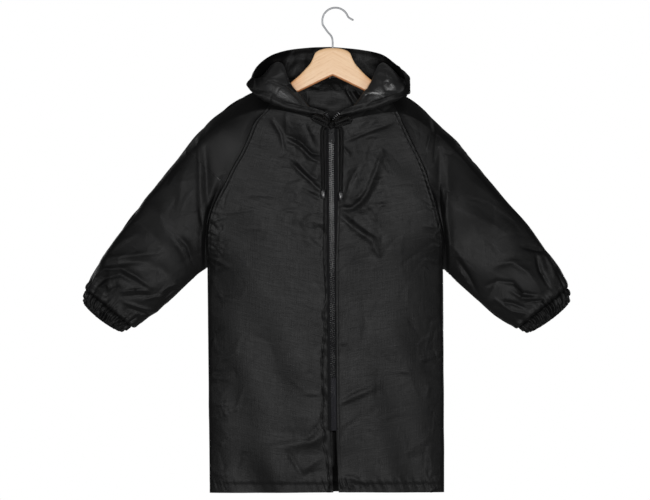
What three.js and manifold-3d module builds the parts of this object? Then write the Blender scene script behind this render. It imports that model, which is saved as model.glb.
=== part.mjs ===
// Kids raincoat on a wooden hanger, millimetres, +Z up, front towards -Y.
// The origin is the inner top of the hanger's hook, where a rail carries it.
import * as THREE from 'three';
import { mergeVertices } from 'three/addons/utils/BufferGeometryUtils.js';
import Module from 'manifold-3d';

const wasm = await Module();
wasm.setup();

// Cloth
const WALL = 1.5;
const SEAM_GAP = 0.3;
const NECK_CURVE = 1.5;

// Mesh density
const BODY_COLUMNS = 8;
const ARMHOLE_ROWS = 10;
const SKIRT_ROWS = 9;
const AROUND = 24;
const NECK_STEPS = 2;
const YOKE_ROWS = 4;
const SLEEVE_ROWS = 9;
const HOOD_STEPS = 14;
const CUFF_WAVES = 22;
const CUFF_SAMPLES = 4;

// Cuff gathers: rings with the share of the wave's height at each, and the way out of a sleeve
const WAVE_HEIGHT = 1.2;
const CUFF_SAG = 8;
const cuffLevels = [{ ring: 9.04, wave: 0.5 }, { ring: 9.35, wave: 1 }, { ring: 10, wave: 0.9 }];
const SLEEVE_RUN = { x: 0.6, z: -0.8 };
const EDGE_SAMPLES = 720;

// Zip
const ZIP_LEFT_EDGE = 6.2;
const ZIP_RIGHT_EDGE = 5.2;
const SLIT_SHARE = 0.68;
const TEETH_WIDTH = 4.6;
const TEETH_DEPTH = 2.2;
const TEETH_LIFT = 0.9;
const TAPE_WIDTH = 14;
const TAPE_TOP_WIDTH = 4.6;
const TAPE_DEPTH = 0.8;
const ZIP_END_ROW = 16;
const ZIP_FILM_ROWS = 2;

// Slider and pull tab
const SLIDER = { z: -212, width: 9.4, height: 13, depth: 2.4 };
const BRIDGE = { width: 2.6, height: 8, depth: 3.6, bar: 1.1, drop: 2, sunk: 0.2 };
const PULL = {
  top: 6.4, bottom: 11, length: 21, depth: 1.3, bar: 1.5, corner: 4,
  eyeEnd: 6.5, eyeRoom: 0.4, hole: 2.2, holeRise: 4.4, rest: 2.4,
};

// Cords
const CORD = 5.4;
const CORD_FIT = 0.1;
const KNOT = { x: -7, y: -52.5, z: -206, rx: 6.5, ry: 4.8, rz: 8 };
const BELL = { length: 16, top: 3.4, widest: 5, bottom: 3.8 };

// Hanger
const STEM_X = -5;
const WOOD_DEPTH = 12;
const WOOD_BEVEL = 2.4;
const WIRE = 3.2;
const HOOK_RADIUS = 23.1;
const HOOK_CENTRE_Z = -21.5;

const colours = {
  cloth: { color: 0x101114, roughness: 0.5, metalness: 0 },
  coated: { color: 0x17181b, roughness: 0.4, metalness: 0 },
  zip: { color: 0x0c0d10, roughness: 0.45, metalness: 0 },
  cord: { color: 0x08090b, roughness: 0.75, metalness: 0 },
  plastic: { color: 0x07080a, roughness: 0.25, metalness: 0 },
  wood: { color: 0xe3bd8c, roughness: 0.55, metalness: 0 },
  steel: { color: 0xb9bcc0, roughness: 0.2, metalness: 1 },
};

// Armhole seam from the neck to the underarm: x, z, half depth
const armhole = {
  left: [
    [-120, -177, 33], [-141, -199, 34], [-153, -227, 34], [-166, -255, 33],
    [-181, -281, 32], [-194, -308, 30], [-208, -335, 28], [-219, -363, 25],
    [-223, -393, 20], [-224, -423, 12], [-224, -454, 0],
  ],
  right: [
    [108, -182, 33], [121, -208, 34], [133.5, -234, 34], [146.5, -260, 33],
    [158, -287, 32], [166.5, -314, 30], [175, -342, 28], [182, -370, 25],
    [187, -398, 20], [188, -427, 12], [188, -456, 0],
  ],
};

// Back neck ends of the same seam: x, z, half depth
const backNeck = { left: [-98, -146, 30], right: [80, -147, 30] };
const BACK_MEETS_FRONT_ROW = 4;

// Shoulder point of the neck, over the hanger's arm: x, z
const shoulderNeck = { left: [-92, -133], right: [76, -130] };

// Side seam from the underarm to the hem: x, z
const sideSeam = {
  left: [
    [-224, -454], [-223.5, -502], [-223, -550], [-222.5, -598], [-222, -646],
    [-221.5, -693], [-221, -740], [-220.5, -786], [-220, -832], [-220, -850],
  ],
  right: [
    [188, -456], [188.5, -503], [188.5, -551], [189, -598], [189, -646],
    [189.5, -693], [189.5, -740], [190, -786], [190, -832], [190, -849],
  ],
};

// Middle of the front and of the back by row: front z, zip x, front half depth,
// back z, back x, back half depth
const middle = [
  [-202, -7, 39, -140, -10, 34], [-226, -6.1, 39, -172, -10, 34],
  [-252, -6, 38, -204, -10.5, 34], [-278, -5.9, 37.5, -236, -11, 34],
  [-304, -5.7, 37, -268, -11.5, 34], [-330, -5.5, 36.5, -300, -12, 33],
  [-356, -5.3, 36, -332, -12, 33], [-382, -5.1, 35, -364, -12.5, 32],
  [-408, -4.9, 34, -396, -13, 31], [-434, -4.7, 33, -428, -13.5, 30],
  [-460, -4.5, 32, -460, -14, 29], [-507, -4.2, 30, -506, -14, 28],
  [-554, -4, 28.5, -553, -14.5, 27], [-601, -3.7, 27, -600, -14.5, 26],
  [-648, -3.4, 26, -647, -15, 25], [-694, -3, 25, -693, -15, 24],
  [-740, -2.4, 24, -739, -15, 23], [-786, -0.6, 23, -785, -15, 22.5],
  [-832, 1.4, 22.5, -831, -15, 22], [-848.5, 2.2, 22.5, -848.5, -15, 22],
];

// Sleeve rings from the armhole to the cuff's opening:
// lower edge x, z, upper edge x, z, half depth
const sleeveRings = {
  left: [
    [-224, -454, -92, -133, 30], [-228, -457, -129, -143, 29],
    [-234, -461, -174, -163, 28], [-241, -466, -227, -205, 26],
    [-251, -475, -279, -266, 24], [-267, -490, -328, -328, 23],
    [-290, -511, -372, -385, 22], [-314, -532, -405, -431, 21],
    [-337, -548, -426, -468, 18], [-358, -559, -438, -494, 14],
    [-374, -566, -442, -514, 13],
  ],
  right: [
    [188, -456, 76, -130, 30], [193, -459, 107, -144, 29],
    [199, -464, 150, -174, 28], [206, -471, 199, -221, 26],
    [216, -482, 248, -276, 24], [232, -496, 295, -333, 23],
    [256, -518, 339, -384, 22], [281, -538, 372, -426, 21],
    [304, -554, 395, -460, 18], [321, -561, 408, -491, 14],
    [335, -568, 411, -512, 13],
  ],
};
const CUFF_RING = 9;
const ARMHOLE_FADE = 5;

// Folds: the cloth dips beside the armhole, gathers towards the cuff and waves in the skirt
const ARMHOLE_DIP = [0, 7, -2.5, 0];
const CUFF_PLEATS = [0, 0.5, 1.3, 2.2, 0.6];
const CUFF_PLEATS_FROM = 5;
const SKIRT_WAVE = 2.2;
const SKIRT_WAVE_LENGTH = 96;
const SKIRT_WAVE_LEAN = 0.32;

// Seam across the sleeve head: upper end x, z, and the armhole row where it ends
const yokeSeam = {
  left: { x: -262, z: -250, row: 5 },
  right: { x: 220, z: -244, row: 4 },
};

// Hood sections of the left half from the front to the middle of the back, each from the
// neck to the rim: rise, inner fold, face, valley, turn, outer wall. Each point is x, y, z.
const hoodSections = [
  { at: 0, points: [[-14, -39.3, -199], [-15.5, -39.6, -196], [-17, -40, -193],
    [-18.5, -40.4, -190], [-19.5, -40.8, -187], [-20.3, -41.2, -184]],
  right: [[-0.4, -39.3, -199], [1.2, -39.6, -196], [3, -40, -193],
    [5, -40.4, -190], [7, -40.8, -187], [9, -41.2, -184]] },
  { at: 0.12, points: [[-46, -36, -184], [-44, -31.5, -177], [-46, -32.5, -176],
    [-47, -35.5, -181], [-48, -39, -184.5], [-48.5, -42.5, -183]] },
  { at: 0.24, points: [[-80, -32, -171], [-62, -20, -153], [-76, -25, -149],
    [-86, -33, -166], [-88, -38.5, -174], [-89, -43, -174.5]] },
  { at: 0.36, points: [[-108, -27, -160], [-78, -13, -133], [-98, -18, -131],
    [-112, -28, -148], [-119, -35, -160], [-121, -42, -163]] },
  { at: 0.43, points: [[-99, -14, -141], [-85, -8, -113], [-112, -12, -118],
    [-128, -21, -134], [-139, -29, -146], [-146, -36, -147]] },
  { at: 0.5, points: [[-92, 1, -121], [-95, 4, -97], [-114, 3, -105],
    [-130, -1, -121], [-141, -6, -127], [-148, -14, -127]] },
  { at: 0.57, points: [[-96, 19, -124], [-101, 23, -98], [-116, 24, -108],
    [-130, 22, -126], [-141, 16, -129], [-146, 7, -121]] },
  { at: 0.64, points: [[-99, 33, -132], [-101, 38, -119], [-111, 41, -140],
    [-124, 42, -178], [-136, 49, -180], [-142, 38, -130]] },
  { at: 0.76, points: [[-71, 35, -132], [-72, 40, -125], [-80, 42.5, -160],
    [-93, 44, -228], [-102, 56, -230], [-104, 56, -140]] },
  { at: 0.88, points: [[-42, 36, -131], [-43, 41, -125], [-47, 43, -166],
    [-53, 45, -246], [-57, 58, -249], [-57, 60, -148]] },
  { at: 1, points: [[-10, 37, -130], [-10, 42, -125], [-10, 43.5, -168],
    [-10, 45, -252], [-10, 59, -255], [-10, 61, -150]],
  right: [[-10, 37, -130], [-10, 42, -125], [-10, 43.5, -168],
    [-10, 45, -252], [-10, 59, -255], [-10, 61, -150]] },
];
const HOOD_AXIS = -7;
const RIGHT_SCALE = 0.97;

// Hood rim by the same sections: left x, y, z and right x, y, z
const hoodRim = [
  [-21, -41.5, -181, 11, -41.5, -181], [-48, -43.5, -173, 34, -43.5, -171],
  [-88, -44, -163, 72, -44, -161], [-117, -44, -148, 104, -44, -150],
  [-155, -33, -137, 130, -33, -150], [-146, -20, -119, 123, -20, -126],
  [-138, 0, -103, 118, 0, -112], [-120, 20, -85, 106, 20, -97],
  [-90, 42, -72.5, 82, 42, -79], [-48, 52.5, -66.5, 44, 52.5, -70],
  [-8, 55, -65, -8, 55, -65],
];

const group = new THREE.Group();
const sides = [
  { name: 'left', sign: -1 },
  { name: 'right', sign: 1 },
];

function addMesh(name, geometry, finish) {
  const mesh = new THREE.Mesh(geometry, new THREE.MeshStandardMaterial(colours[finish]));
  mesh.name = name;
  group.add(mesh);
  return mesh;
}

// A smooth value between the rows of a table
function between(rows, position) {
  const last = rows.length - 1;
  const index = Math.max(0, Math.min(Math.floor(position), last - 1));
  const f = position - index;
  const row = (k) => rows[Math.max(0, Math.min(last, k))];
  const [a, b, c, d] = [row(index - 1), row(index), row(index + 1), row(index + 2)];
  return b.map((value, n) => 0.5 * (2 * value + (c[n] - a[n]) * f
    + (2 * a[n] - 5 * value + 4 * c[n] - d[n]) * f * f
    + (3 * value - a[n] - 3 * c[n] + d[n]) * f * f * f));
}

// The same for one column, zero before the table's start
function tableAt(values, position) {
  if (position <= 0 || position >= values.length - 1) return 0;
  return between(values.map((value) => [value]), position)[0];
}

// Body
function armholePoint(side, face, row) {
  const seam = armhole[side];
  if (face === 'front' || row >= BACK_MEETS_FRONT_ROW) return between(seam, row);
  const share = row / BACK_MEETS_FRONT_ROW;
  const join = seam[BACK_MEETS_FRONT_ROW];
  return backNeck[side].map((value, n) => value + (join[n] - value) * share);
}

function sidePoint(side, face, row) {
  if (row <= ARMHOLE_ROWS) return armholePoint(side, face, row);
  const [x, z] = between(sideSeam[side], row - ARMHOLE_ROWS);
  return [x, z, 0];
}

function middlePoint(side, face, row) {
  const [frontZ, zipX, frontDepth, backZ, backX, backDepth] = between(middle, row);
  if (face === 'back') return [backX, backZ, backDepth];
  const edge = side === 'left' ? -ZIP_LEFT_EDGE : ZIP_RIGHT_EDGE;
  return [zipX + edge * (row > ZIP_END_ROW ? SLIT_SHARE : 1), frontZ, frontDepth];
}

function bodyPoint(side, face, row, across) {
  const [sideX, sideZ, sideDepth] = sidePoint(side, face, row);
  const [x, z, depth] = middlePoint(side, face, row);
  const squared = sideDepth ** 2 + (depth ** 2 - sideDepth ** 2) * (1 - across ** 2);
  const rise = 1 - (1 - across) ** NECK_CURVE;
  const place = x + (sideX - x) * across;
  const level = z + (sideZ - z) * rise;
  const skirt = Math.max(0, (row - ARMHOLE_ROWS) / SKIRT_ROWS);
  const phase = ((place + level * SKIRT_WAVE_LEAN) / SKIRT_WAVE_LENGTH) * 2 * Math.PI;
  const wave = SKIRT_WAVE * skirt * Math.sin(phase) * 4 * across * (1 - across);
  const out = Math.sqrt(Math.max(0, squared)) + wave;
  return new THREE.Vector3(place, face === 'front' ? -out : out, level);
}

// Columns crowd towards the side, where the cloth turns
const bodyColumn = (k) => Math.cos((k * Math.PI) / 2 / BODY_COLUMNS);

// Sleeves: around runs from the shoulder over the front to the underarm and back
function ringZero(side, around) {
  const half = AROUND / 2;
  const face = around <= half ? 'front' : 'back';
  const step = around <= half ? around : AROUND - around;
  const sign = face === 'front' ? -1 : 1;
  if (step >= NECK_STEPS) {
    const [x, z, depth] = armholePoint(side, face, step - NECK_STEPS);
    return new THREE.Vector3(x, sign * depth, z);
  }
  const [x, z, depth] = armholePoint(side, face, 0);
  const [topX, topZ] = shoulderNeck[side];
  const share = step / NECK_STEPS;
  return new THREE.Vector3(topX + (x - topX) * share, sign * depth * share, topZ + (z - topZ) * share);
}

function sleeveRing(side, ring, around) {
  const [lowX, lowZ, topX, topZ, depth] = between(sleeveRings[side], ring);
  const angle = (around / AROUND) * 2 * Math.PI;
  const c = Math.cos(angle);
  return new THREE.Vector3(
    (topX + lowX) / 2 + ((topX - lowX) / 2) * c,
    -depth * Math.sin(angle),
    (topZ + lowZ) / 2 + ((topZ - lowZ) / 2) * c,
  );
}

function sleevePoint(side, ring, around) {
  const point = sleeveRing(side, ring, around);
  const fade = Math.max(0, 1 - ring / ARMHOLE_FADE);
  const shift = ringZero(side, around).sub(sleeveRing(side, 0, around));
  const angle = (around / AROUND) * 2 * Math.PI;
  const dip = tableAt(ARMHOLE_DIP, ring) * Math.sin(angle) * Math.max(0, -Math.cos(angle)) * 2;
  const pleat = tableAt(CUFF_PLEATS, ring - CUFF_PLEATS_FROM) * Math.cos(around * Math.PI);
  point.add(shift.multiplyScalar(fade));
  point.y += dip - pleat * Math.sin(angle);
  return point;
}

// Ring at which the seam across the sleeve head passes, by bisection
function yokeRing(side, around) {
  const { x, z, row } = yokeSeam[side];
  const end = row + NECK_STEPS;
  const step = Math.min(around, AROUND - around);
  if (step >= end) return 0;
  const [endX, endZ] = armhole[side][row];
  const beyond = (ring) => {
    const point = sleevePoint(side, ring, step);
    return ((point.x - x) * (endZ - z) - (point.z - z) * (endX - x)) * (side === 'left' ? 1 : -1);
  };
  let [near, far] = [0, 5];
  for (let turn = 0; turn < 40; turn += 1) {
    const ring = (near + far) / 2;
    if (beyond(ring) < 0) near = ring;
    else far = ring;
  }
  return (near + far) / 2;
}

// Hood
function neckLine(side) {
  const line = [];
  for (let k = BODY_COLUMNS; k >= 0; k -= 1) {
    line.push({ at: (0.36 * (BODY_COLUMNS - k)) / BODY_COLUMNS, point: bodyPoint(side, 'front', 0, bodyColumn(k)) });
  }
  for (let step = NECK_STEPS - 1; step >= 0; step -= 1) {
    line.push({ at: 0.36 + (0.14 * (NECK_STEPS - step)) / NECK_STEPS, point: ringZero(side, step) });
  }
  for (let step = 1; step <= NECK_STEPS; step += 1) {
    line.push({ at: 0.5 + (0.14 * step) / NECK_STEPS, point: ringZero(side, AROUND - step) });
  }
  for (let k = 1; k <= BODY_COLUMNS; k += 1) {
    line.push({ at: 0.64 + (0.36 * k) / BODY_COLUMNS, point: bodyPoint(side, 'back', 0, bodyColumn(k)) });
  }
  return line;
}

// The right half mirrors the left, but for its front edge and the seam they share
function sectionOf(section, side) {
  if (side === 'left') return section.points;
  if (section.right) return section.right;
  return section.points.map(([x, y, z]) => [HOOD_AXIS - (x - HOOD_AXIS) * RIGHT_SCALE, y, z]);
}

function hoodSection(side, neck) {
  const next = hoodSections.findIndex((section) => section.at >= neck.at - 1e-9);
  const upper = Math.max(1, next);
  const [from, to] = [hoodSections[upper - 1].at, hoodSections[upper].at];
  const position = upper - 1 + (neck.at - from) / (to - from);
  const values = between(hoodSections.map((section) => sectionOf(section, side).flat()), position);
  const points = [[neck.point.x, neck.point.y, neck.point.z]];
  for (let k = 0; k < values.length; k += 3) points.push(values.slice(k, k + 3));
  const rim = between(hoodRim, position);
  points.push(side === 'left' ? rim.slice(0, 3) : rim.slice(3));
  return points;
}

// Panels: a grid of outer points becomes quads; all seams are found by their shared points
const keyOf = (p) => `${Math.round(p.x * 50)},${Math.round(p.y * 50)},${Math.round(p.z * 50)}`;
const panels = [];

function addPanel(name, finish, grid, { wrap = false, flip = false } = {}) {
  const points = [];
  const keys = new Map();
  const index = grid.map((row) => row.map((p) => {
    const key = keyOf(p);
    if (!keys.has(key)) {
      keys.set(key, points.length);
      points.push(p);
    }
    return keys.get(key);
  }));
  const faces = [];
  for (let i = 0; i + 1 < grid.length; i += 1) {
    const columns = grid[i].length;
    for (let j = 0; j < (wrap ? columns : columns - 1); j += 1) {
      const n = (j + 1) % columns;
      const quad = [index[i][j], index[i][n], index[i + 1][n], index[i + 1][j]];
      const loop = quad.filter((value, k) => value !== quad[(k + 1) % 4]);
      if (loop.length < 3) continue;
      if (flip) loop.reverse();
      for (let k = 1; k + 1 < loop.length; k += 1) faces.push([loop[0], loop[k], loop[k + 1]]);
    }
  }
  panels.push({ name, finish, points, faces });
}

function faceNormal(points, [a, b, c]) {
  const u = points[b].clone().sub(points[a]);
  return u.cross(points[c].clone().sub(points[a]));
}

const edgeKey = (a, b) => [keyOf(a), keyOf(b)].sort().join('|');

function boundaryOf(panel) {
  const edges = new Map();
  for (const face of panel.faces) {
    for (let k = 0; k < 3; k += 1) {
      const [a, b] = [face[k], face[(k + 1) % 3]];
      if (edges.has(`${b},${a}`)) edges.delete(`${b},${a}`);
      else edges.set(`${a},${b}`, [a, b]);
    }
  }
  return [...edges.values()];
}

// In-surface step that moves a corner away from the seams beside it
function seamStep(point, normal, seams) {
  const pulls = seams.map(({ from, to }) => normal.clone().cross(to.clone().sub(from)).normalize());
  if (pulls.length === 0) return new THREE.Vector3();
  if (pulls.length === 1) return pulls[0].multiplyScalar(SEAM_GAP / 2);
  const sum = pulls[0].clone().add(pulls[1]);
  const scale = SEAM_GAP / Math.max(0.5, sum.lengthSq());
  return sum.multiplyScalar(scale);
}

function buildPanels() {
  const normals = new Map();
  const edgeUse = new Map();
  for (const panel of panels) {
    panel.boundary = boundaryOf(panel);
    for (const [a, b] of panel.boundary) {
      const key = edgeKey(panel.points[a], panel.points[b]);
      edgeUse.set(key, (edgeUse.get(key) ?? 0) + 1);
    }
    for (const face of panel.faces) {
      const normal = faceNormal(panel.points, face);
      for (const vertex of face) {
        const key = keyOf(panel.points[vertex]);
        if (!normals.has(key)) normals.set(key, new THREE.Vector3());
        normals.get(key).add(normal);
      }
    }
  }
  for (const panel of panels) buildPanel(panel, normals, edgeUse);
}

function buildPanel(panel, normals, edgeUse) {
  const { points, faces, boundary } = panel;
  const seams = points.map(() => []);
  for (const [a, b] of boundary) {
    if (edgeUse.get(edgeKey(points[a], points[b])) < 2) continue;
    const seam = { from: points[a], to: points[b] };
    seams[a].push(seam);
    seams[b].push(seam);
  }
  const outer = [];
  const inner = [];
  points.forEach((point, k) => {
    const normal = normals.get(keyOf(point)).clone().normalize();
    const moved = point.clone().add(seamStep(point, normal, seams[k]));
    outer.push(moved);
    inner.push(moved.clone().addScaledVector(normal, -WALL));
  });
  const count = points.length;
  const triangles = [];
  for (const [a, b, c] of faces) {
    triangles.push(a, b, c);
    triangles.push(a + count, c + count, b + count);
  }
  for (const [a, b] of boundary) {
    if (keyOf(points[a]) < keyOf(points[b])) triangles.push(b, a, a + count, b, a + count, b + count);
    else triangles.push(b, a, b + count, a, a + count, b + count);
  }
  addMesh(panel.name, solid([...outer, ...inner], triangles), panel.finish);
}

function solid(points, triangles) {
  const geometry = new THREE.BufferGeometry();
  const positions = points.flatMap((p) => [p.x, p.y, p.z]);
  geometry.setAttribute('position', new THREE.Float32BufferAttribute(positions, 3));
  geometry.setIndex(triangles);
  return geometry;
}

function rows(count, make) {
  return Array.from({ length: count + 1 }, (_, k) => make(k));
}

function addBody() {
  const rowCount = ARMHOLE_ROWS + SKIRT_ROWS;
  for (const { name: side } of sides) {
    const grid = rows(rowCount, (row) => rows(BODY_COLUMNS, (k) => bodyPoint(side, 'front', row, bodyColumn(k))));
    addPanel(`front_${side}`, 'cloth', grid, { flip: side === 'left' });
  }
  const back = rows(rowCount, (row) => {
    const left = rows(BODY_COLUMNS, (k) => bodyPoint('left', 'back', row, bodyColumn(k)));
    const right = rows(BODY_COLUMNS, (k) => bodyPoint('right', 'back', row, bodyColumn(k)));
    return [...left, ...right.reverse().slice(1)];
  });
  addPanel('back', 'cloth', back);
}

function addSleeves() {
  for (const { name: side } of sides) {
    const reach = yokeSeam[side].row + NECK_STEPS;
    const yoke = rows(YOKE_ROWS, (row) => rows(2 * reach, (k) => {
      const around = (k - reach + AROUND) % AROUND;
      return sleevePoint(side, (yokeRing(side, around) * row) / YOKE_ROWS, around);
    }));
    addPanel(`sleeve_upper_${side}`, 'cloth', yoke, { flip: side === 'left' });
    const lower = rows(SLEEVE_ROWS, (row) => rows(AROUND - 1, (around) => {
      const start = yokeRing(side, around);
      return sleevePoint(side, start + ((CUFF_RING - start) * row) / SLEEVE_ROWS, around);
    }));
    addPanel(`sleeve_lower_${side}`, 'cloth', lower, { wrap: true, flip: side === 'left' });
  }
}

function addHood() {
  for (const { name: side } of sides) {
    const grid = neckLine(side).map((neck) => {
      const section = hoodSection(side, neck);
      return rows(HOOD_STEPS, (k) => new THREE.Vector3(...between(section, (k / HOOD_STEPS) * (section.length - 1))));
    });
    addPanel(`hood_${side}`, 'coated', grid, { flip: side === 'right' });
  }
}

// Elastic cuffs: gathers run round the opening, evenly along its edge
function addCuffs() {
  for (const { name: side, sign } of sides) {
    const total = CUFF_WAVES * CUFF_SAMPLES;
    const angles = [];
    const ring = rows(EDGE_SAMPLES, (k) => sleeveRing(side, CUFF_RING, (k / EDGE_SAMPLES) * AROUND));
    const lengths = [0];
    for (let k = 1; k <= EDGE_SAMPLES; k += 1) lengths.push(lengths[k - 1] + ring[k].distanceTo(ring[k - 1]));
    for (let k = 0, at = 0; k < total; k += 1) {
      while (lengths[at] < (lengths[EDGE_SAMPLES] * k) / total) at += 1;
      angles.push((at / EDGE_SAMPLES) * AROUND);
    }
    const run = new THREE.Vector3(sign * SLEEVE_RUN.x, 0, SLEEVE_RUN.z);
    const grid = cuffLevels.map(({ ring: level, wave }) => angles.map((around, k) => {
      const ahead = sleeveRing(side, level, around + 0.05).sub(sleeveRing(side, level, around - 0.05));
      const outward = ahead.cross(run).normalize().multiplyScalar(sign);
      const height = WAVE_HEIGHT * wave * Math.cos((k / CUFF_SAMPLES) * 2 * Math.PI);
      const sag = (level - CUFF_RING) * CUFF_SAG * Math.abs(Math.sin((around / AROUND) * 2 * Math.PI));
      return sleeveRing(side, level, around).addScaledVector(outward, height).addScaledVector(run, sag);
    }));
    addPanel(`cuff_${side}`, 'cloth', grid, { wrap: true, flip: side === 'left' });
  }
}

// A strip along stations, each with its own four corners
function strip(stations) {
  const points = stations.flat();
  const triangles = [];
  const last = stations.length - 1;
  for (let i = 0; i < last; i += 1) {
    for (let k = 0; k < 4; k += 1) {
      const [a, b] = [i * 4 + k, i * 4 + ((k + 1) % 4)];
      triangles.push(a, a + 4, b, b, a + 4, b + 4);
    }
  }
  const end = last * 4;
  triangles.push(0, 1, 2, 0, 2, 3, end, end + 2, end + 1, end, end + 3, end + 2);
  return solid(points, triangles);
}

// Zip stations: edge of each row of teeth, parting above the slider
function zipStations(side) {
  const sign = side === 'left' ? -1 : 1;
  const top = side === 'left'
    ? [[-15.5, -182, -41.4, 1], [-11, -191, -40.2, 1]]
    : [[5.3, -182, -41.4, 1], [-2.4, -191, -40.2, 1]];
  const stations = top.map(([x, z, y, narrow]) => ({ x, z, y, narrow }));
  for (let row = 0; row <= ZIP_END_ROW; row += 1) {
    const [z, x, depth] = between(middle, row);
    stations.push({ x: x + (sign * SEAM_GAP) / 2, z, y: -depth, narrow: row === 0 });
  }
  return { stations, sign };
}

function rectangle(near, far, front, back, z) {
  const corners = [[near, front], [far, front], [far, back], [near, back]];
  return corners.map(([x, y]) => new THREE.Vector3(x, y, z));
}

function sideways(side, near, far, front, back, z) {
  const section = rectangle(near, far, front, back, z);
  return side === 'left' ? section.reverse() : section;
}

function addZip() {
  for (const { name: side } of sides) {
    const { stations, sign } = zipStations(side);
    const film = stations.length - 1 - ZIP_FILM_ROWS;
    const teeth = stations.slice(0, film + 1).map(({ x, y, z }, k) => sideways(
      side, x, x + sign * TEETH_WIDTH, y - TEETH_LIFT, y + TEETH_DEPTH - TEETH_LIFT,
      k === film ? z + SEAM_GAP : z,
    ));
    addMesh(`zip_teeth_${side}`, strip(teeth), 'zip');
    const front = TEETH_DEPTH - TEETH_LIFT + SEAM_GAP;
    const tape = stations.map(({ x, y, z, narrow }) => sideways(
      side, x, x + sign * (narrow ? TAPE_TOP_WIDTH : TAPE_WIDTH),
      y + Math.max(front, WALL + SEAM_GAP), y + WALL + SEAM_GAP + TAPE_DEPTH, z,
    ));
    addMesh(`zip_tape_${side}`, strip(tape), 'zip');
  }
  const { stations } = zipStations('left');
  const film = stations.slice(stations.length - 1 - ZIP_FILM_ROWS).map(({ x, y, z }) => rectangle(
    x + SEAM_GAP / 2 - TEETH_WIDTH, x - SEAM_GAP / 2 + TEETH_WIDTH,
    y - TEETH_LIFT, y + TEETH_DEPTH - TEETH_LIFT, z,
  ));
  addMesh('zip_end', strip(film), 'plastic');
}

// Solids joined or cut by booleans
function toManifold(geometry) {
  const bare = geometry.index ? geometry.toNonIndexed() : geometry.clone();
  bare.deleteAttribute('normal');
  bare.deleteAttribute('uv');
  const merged = mergeVertices(bare, 1e-4);
  const mesh = new wasm.Mesh({
    numProp: 3,
    vertProperties: merged.attributes.position.array,
    triVerts: Uint32Array.from(merged.index.array),
  });
  return new wasm.Manifold(mesh);
}

function toGeometry(manifold) {
  const { vertProperties, triVerts } = manifold.getMesh();
  const geometry = new THREE.BufferGeometry();
  geometry.setAttribute('position', new THREE.BufferAttribute(new Float32Array(vertProperties), 3));
  geometry.setIndex(new THREE.BufferAttribute(new Uint32Array(triVerts), 1));
  return geometry;
}

function block(x, y, z, width, depth, height) {
  return new THREE.BoxGeometry(width, depth, height).translate(x, y, z);
}

// Slider with its bridge, and the pull tab whose bar lies in the bridge
const zipRow = (SLIDER.z - middle[0][0]) / (middle[1][0] - middle[0][0]);
const [, SLIDER_X, SLIDER_Y] = between(middle, zipRow);
const plateBack = -SLIDER_Y - TEETH_LIFT - SEAM_GAP;
const plateFront = plateBack - SLIDER.depth;
const bridgeZ = SLIDER.z - BRIDGE.drop;
const eyeDepth = BRIDGE.depth - BRIDGE.bar;
const pivot = { x: SLIDER_X, y: plateFront - eyeDepth / 2, z: bridgeZ - BRIDGE.height / 2 + PULL.rest };

function addSlider() {
  const plate = toManifold(block(
    SLIDER_X, (plateBack + plateFront) / 2, SLIDER.z, SLIDER.width, SLIDER.depth, SLIDER.height,
  ));
  const arch = toManifold(block(
    SLIDER_X, plateFront - BRIDGE.depth / 2 + BRIDGE.sunk, bridgeZ,
    BRIDGE.width, BRIDGE.depth + 2 * BRIDGE.sunk, BRIDGE.height,
  ));
  const eye = toManifold(block(
    SLIDER_X, plateFront - eyeDepth / 2, bridgeZ,
    SLIDER.width, eyeDepth, BRIDGE.height - 2 * BRIDGE.bar,
  ));
  addMesh('zip_slider', toGeometry(plate.add(arch).subtract(eye)), 'plastic');
}

function addPull() {
  const shape = new THREE.Shape();
  shape.moveTo(-PULL.top / 2, PULL.bar / 2);
  shape.lineTo(-PULL.bottom / 2, -PULL.length + PULL.corner);
  shape.quadraticCurveTo(-PULL.bottom / 2, -PULL.length, -PULL.bottom / 2 + PULL.corner, -PULL.length);
  shape.lineTo(PULL.bottom / 2 - PULL.corner, -PULL.length);
  shape.quadraticCurveTo(PULL.bottom / 2, -PULL.length, PULL.bottom / 2, -PULL.length + PULL.corner);
  shape.lineTo(PULL.top / 2, PULL.bar / 2);
  shape.closePath();
  const gap = BRIDGE.width / 2 + PULL.eyeRoom;
  const eye = new THREE.Path();
  eye.moveTo(-gap, -PULL.bar / 2);
  eye.lineTo(gap, -PULL.bar / 2);
  eye.lineTo(gap, -PULL.eyeEnd);
  eye.lineTo(-gap, -PULL.eyeEnd);
  eye.closePath();
  const hole = new THREE.Path();
  hole.absarc(0, -PULL.length + PULL.holeRise, PULL.hole / 2, 0, 2 * Math.PI, false);
  shape.holes.push(eye, hole);
  const geometry = new THREE.ExtrudeGeometry(shape, { depth: PULL.depth, bevelEnabled: false, curveSegments: 4 });
  const mesh = addMesh('zip_pull', geometry.translate(0, 0, -PULL.depth / 2), 'plastic');
  mesh.rotation.x = Math.PI / 2;
  mesh.position.set(pivot.x, pivot.y, pivot.z);
}

// Cords: one route for each stretch that shows
function tube(points, diameter, steps) {
  const path = new THREE.CatmullRomCurve3(points.map((p) => new THREE.Vector3(...p)));
  const section = new THREE.Shape();
  section.absarc(0, 0, diameter / 2, 0, 2 * Math.PI, false);
  return new THREE.ExtrudeGeometry(section, {
    steps, bevelEnabled: false, extrudePath: path, curveSegments: 4,
  });
}

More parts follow.
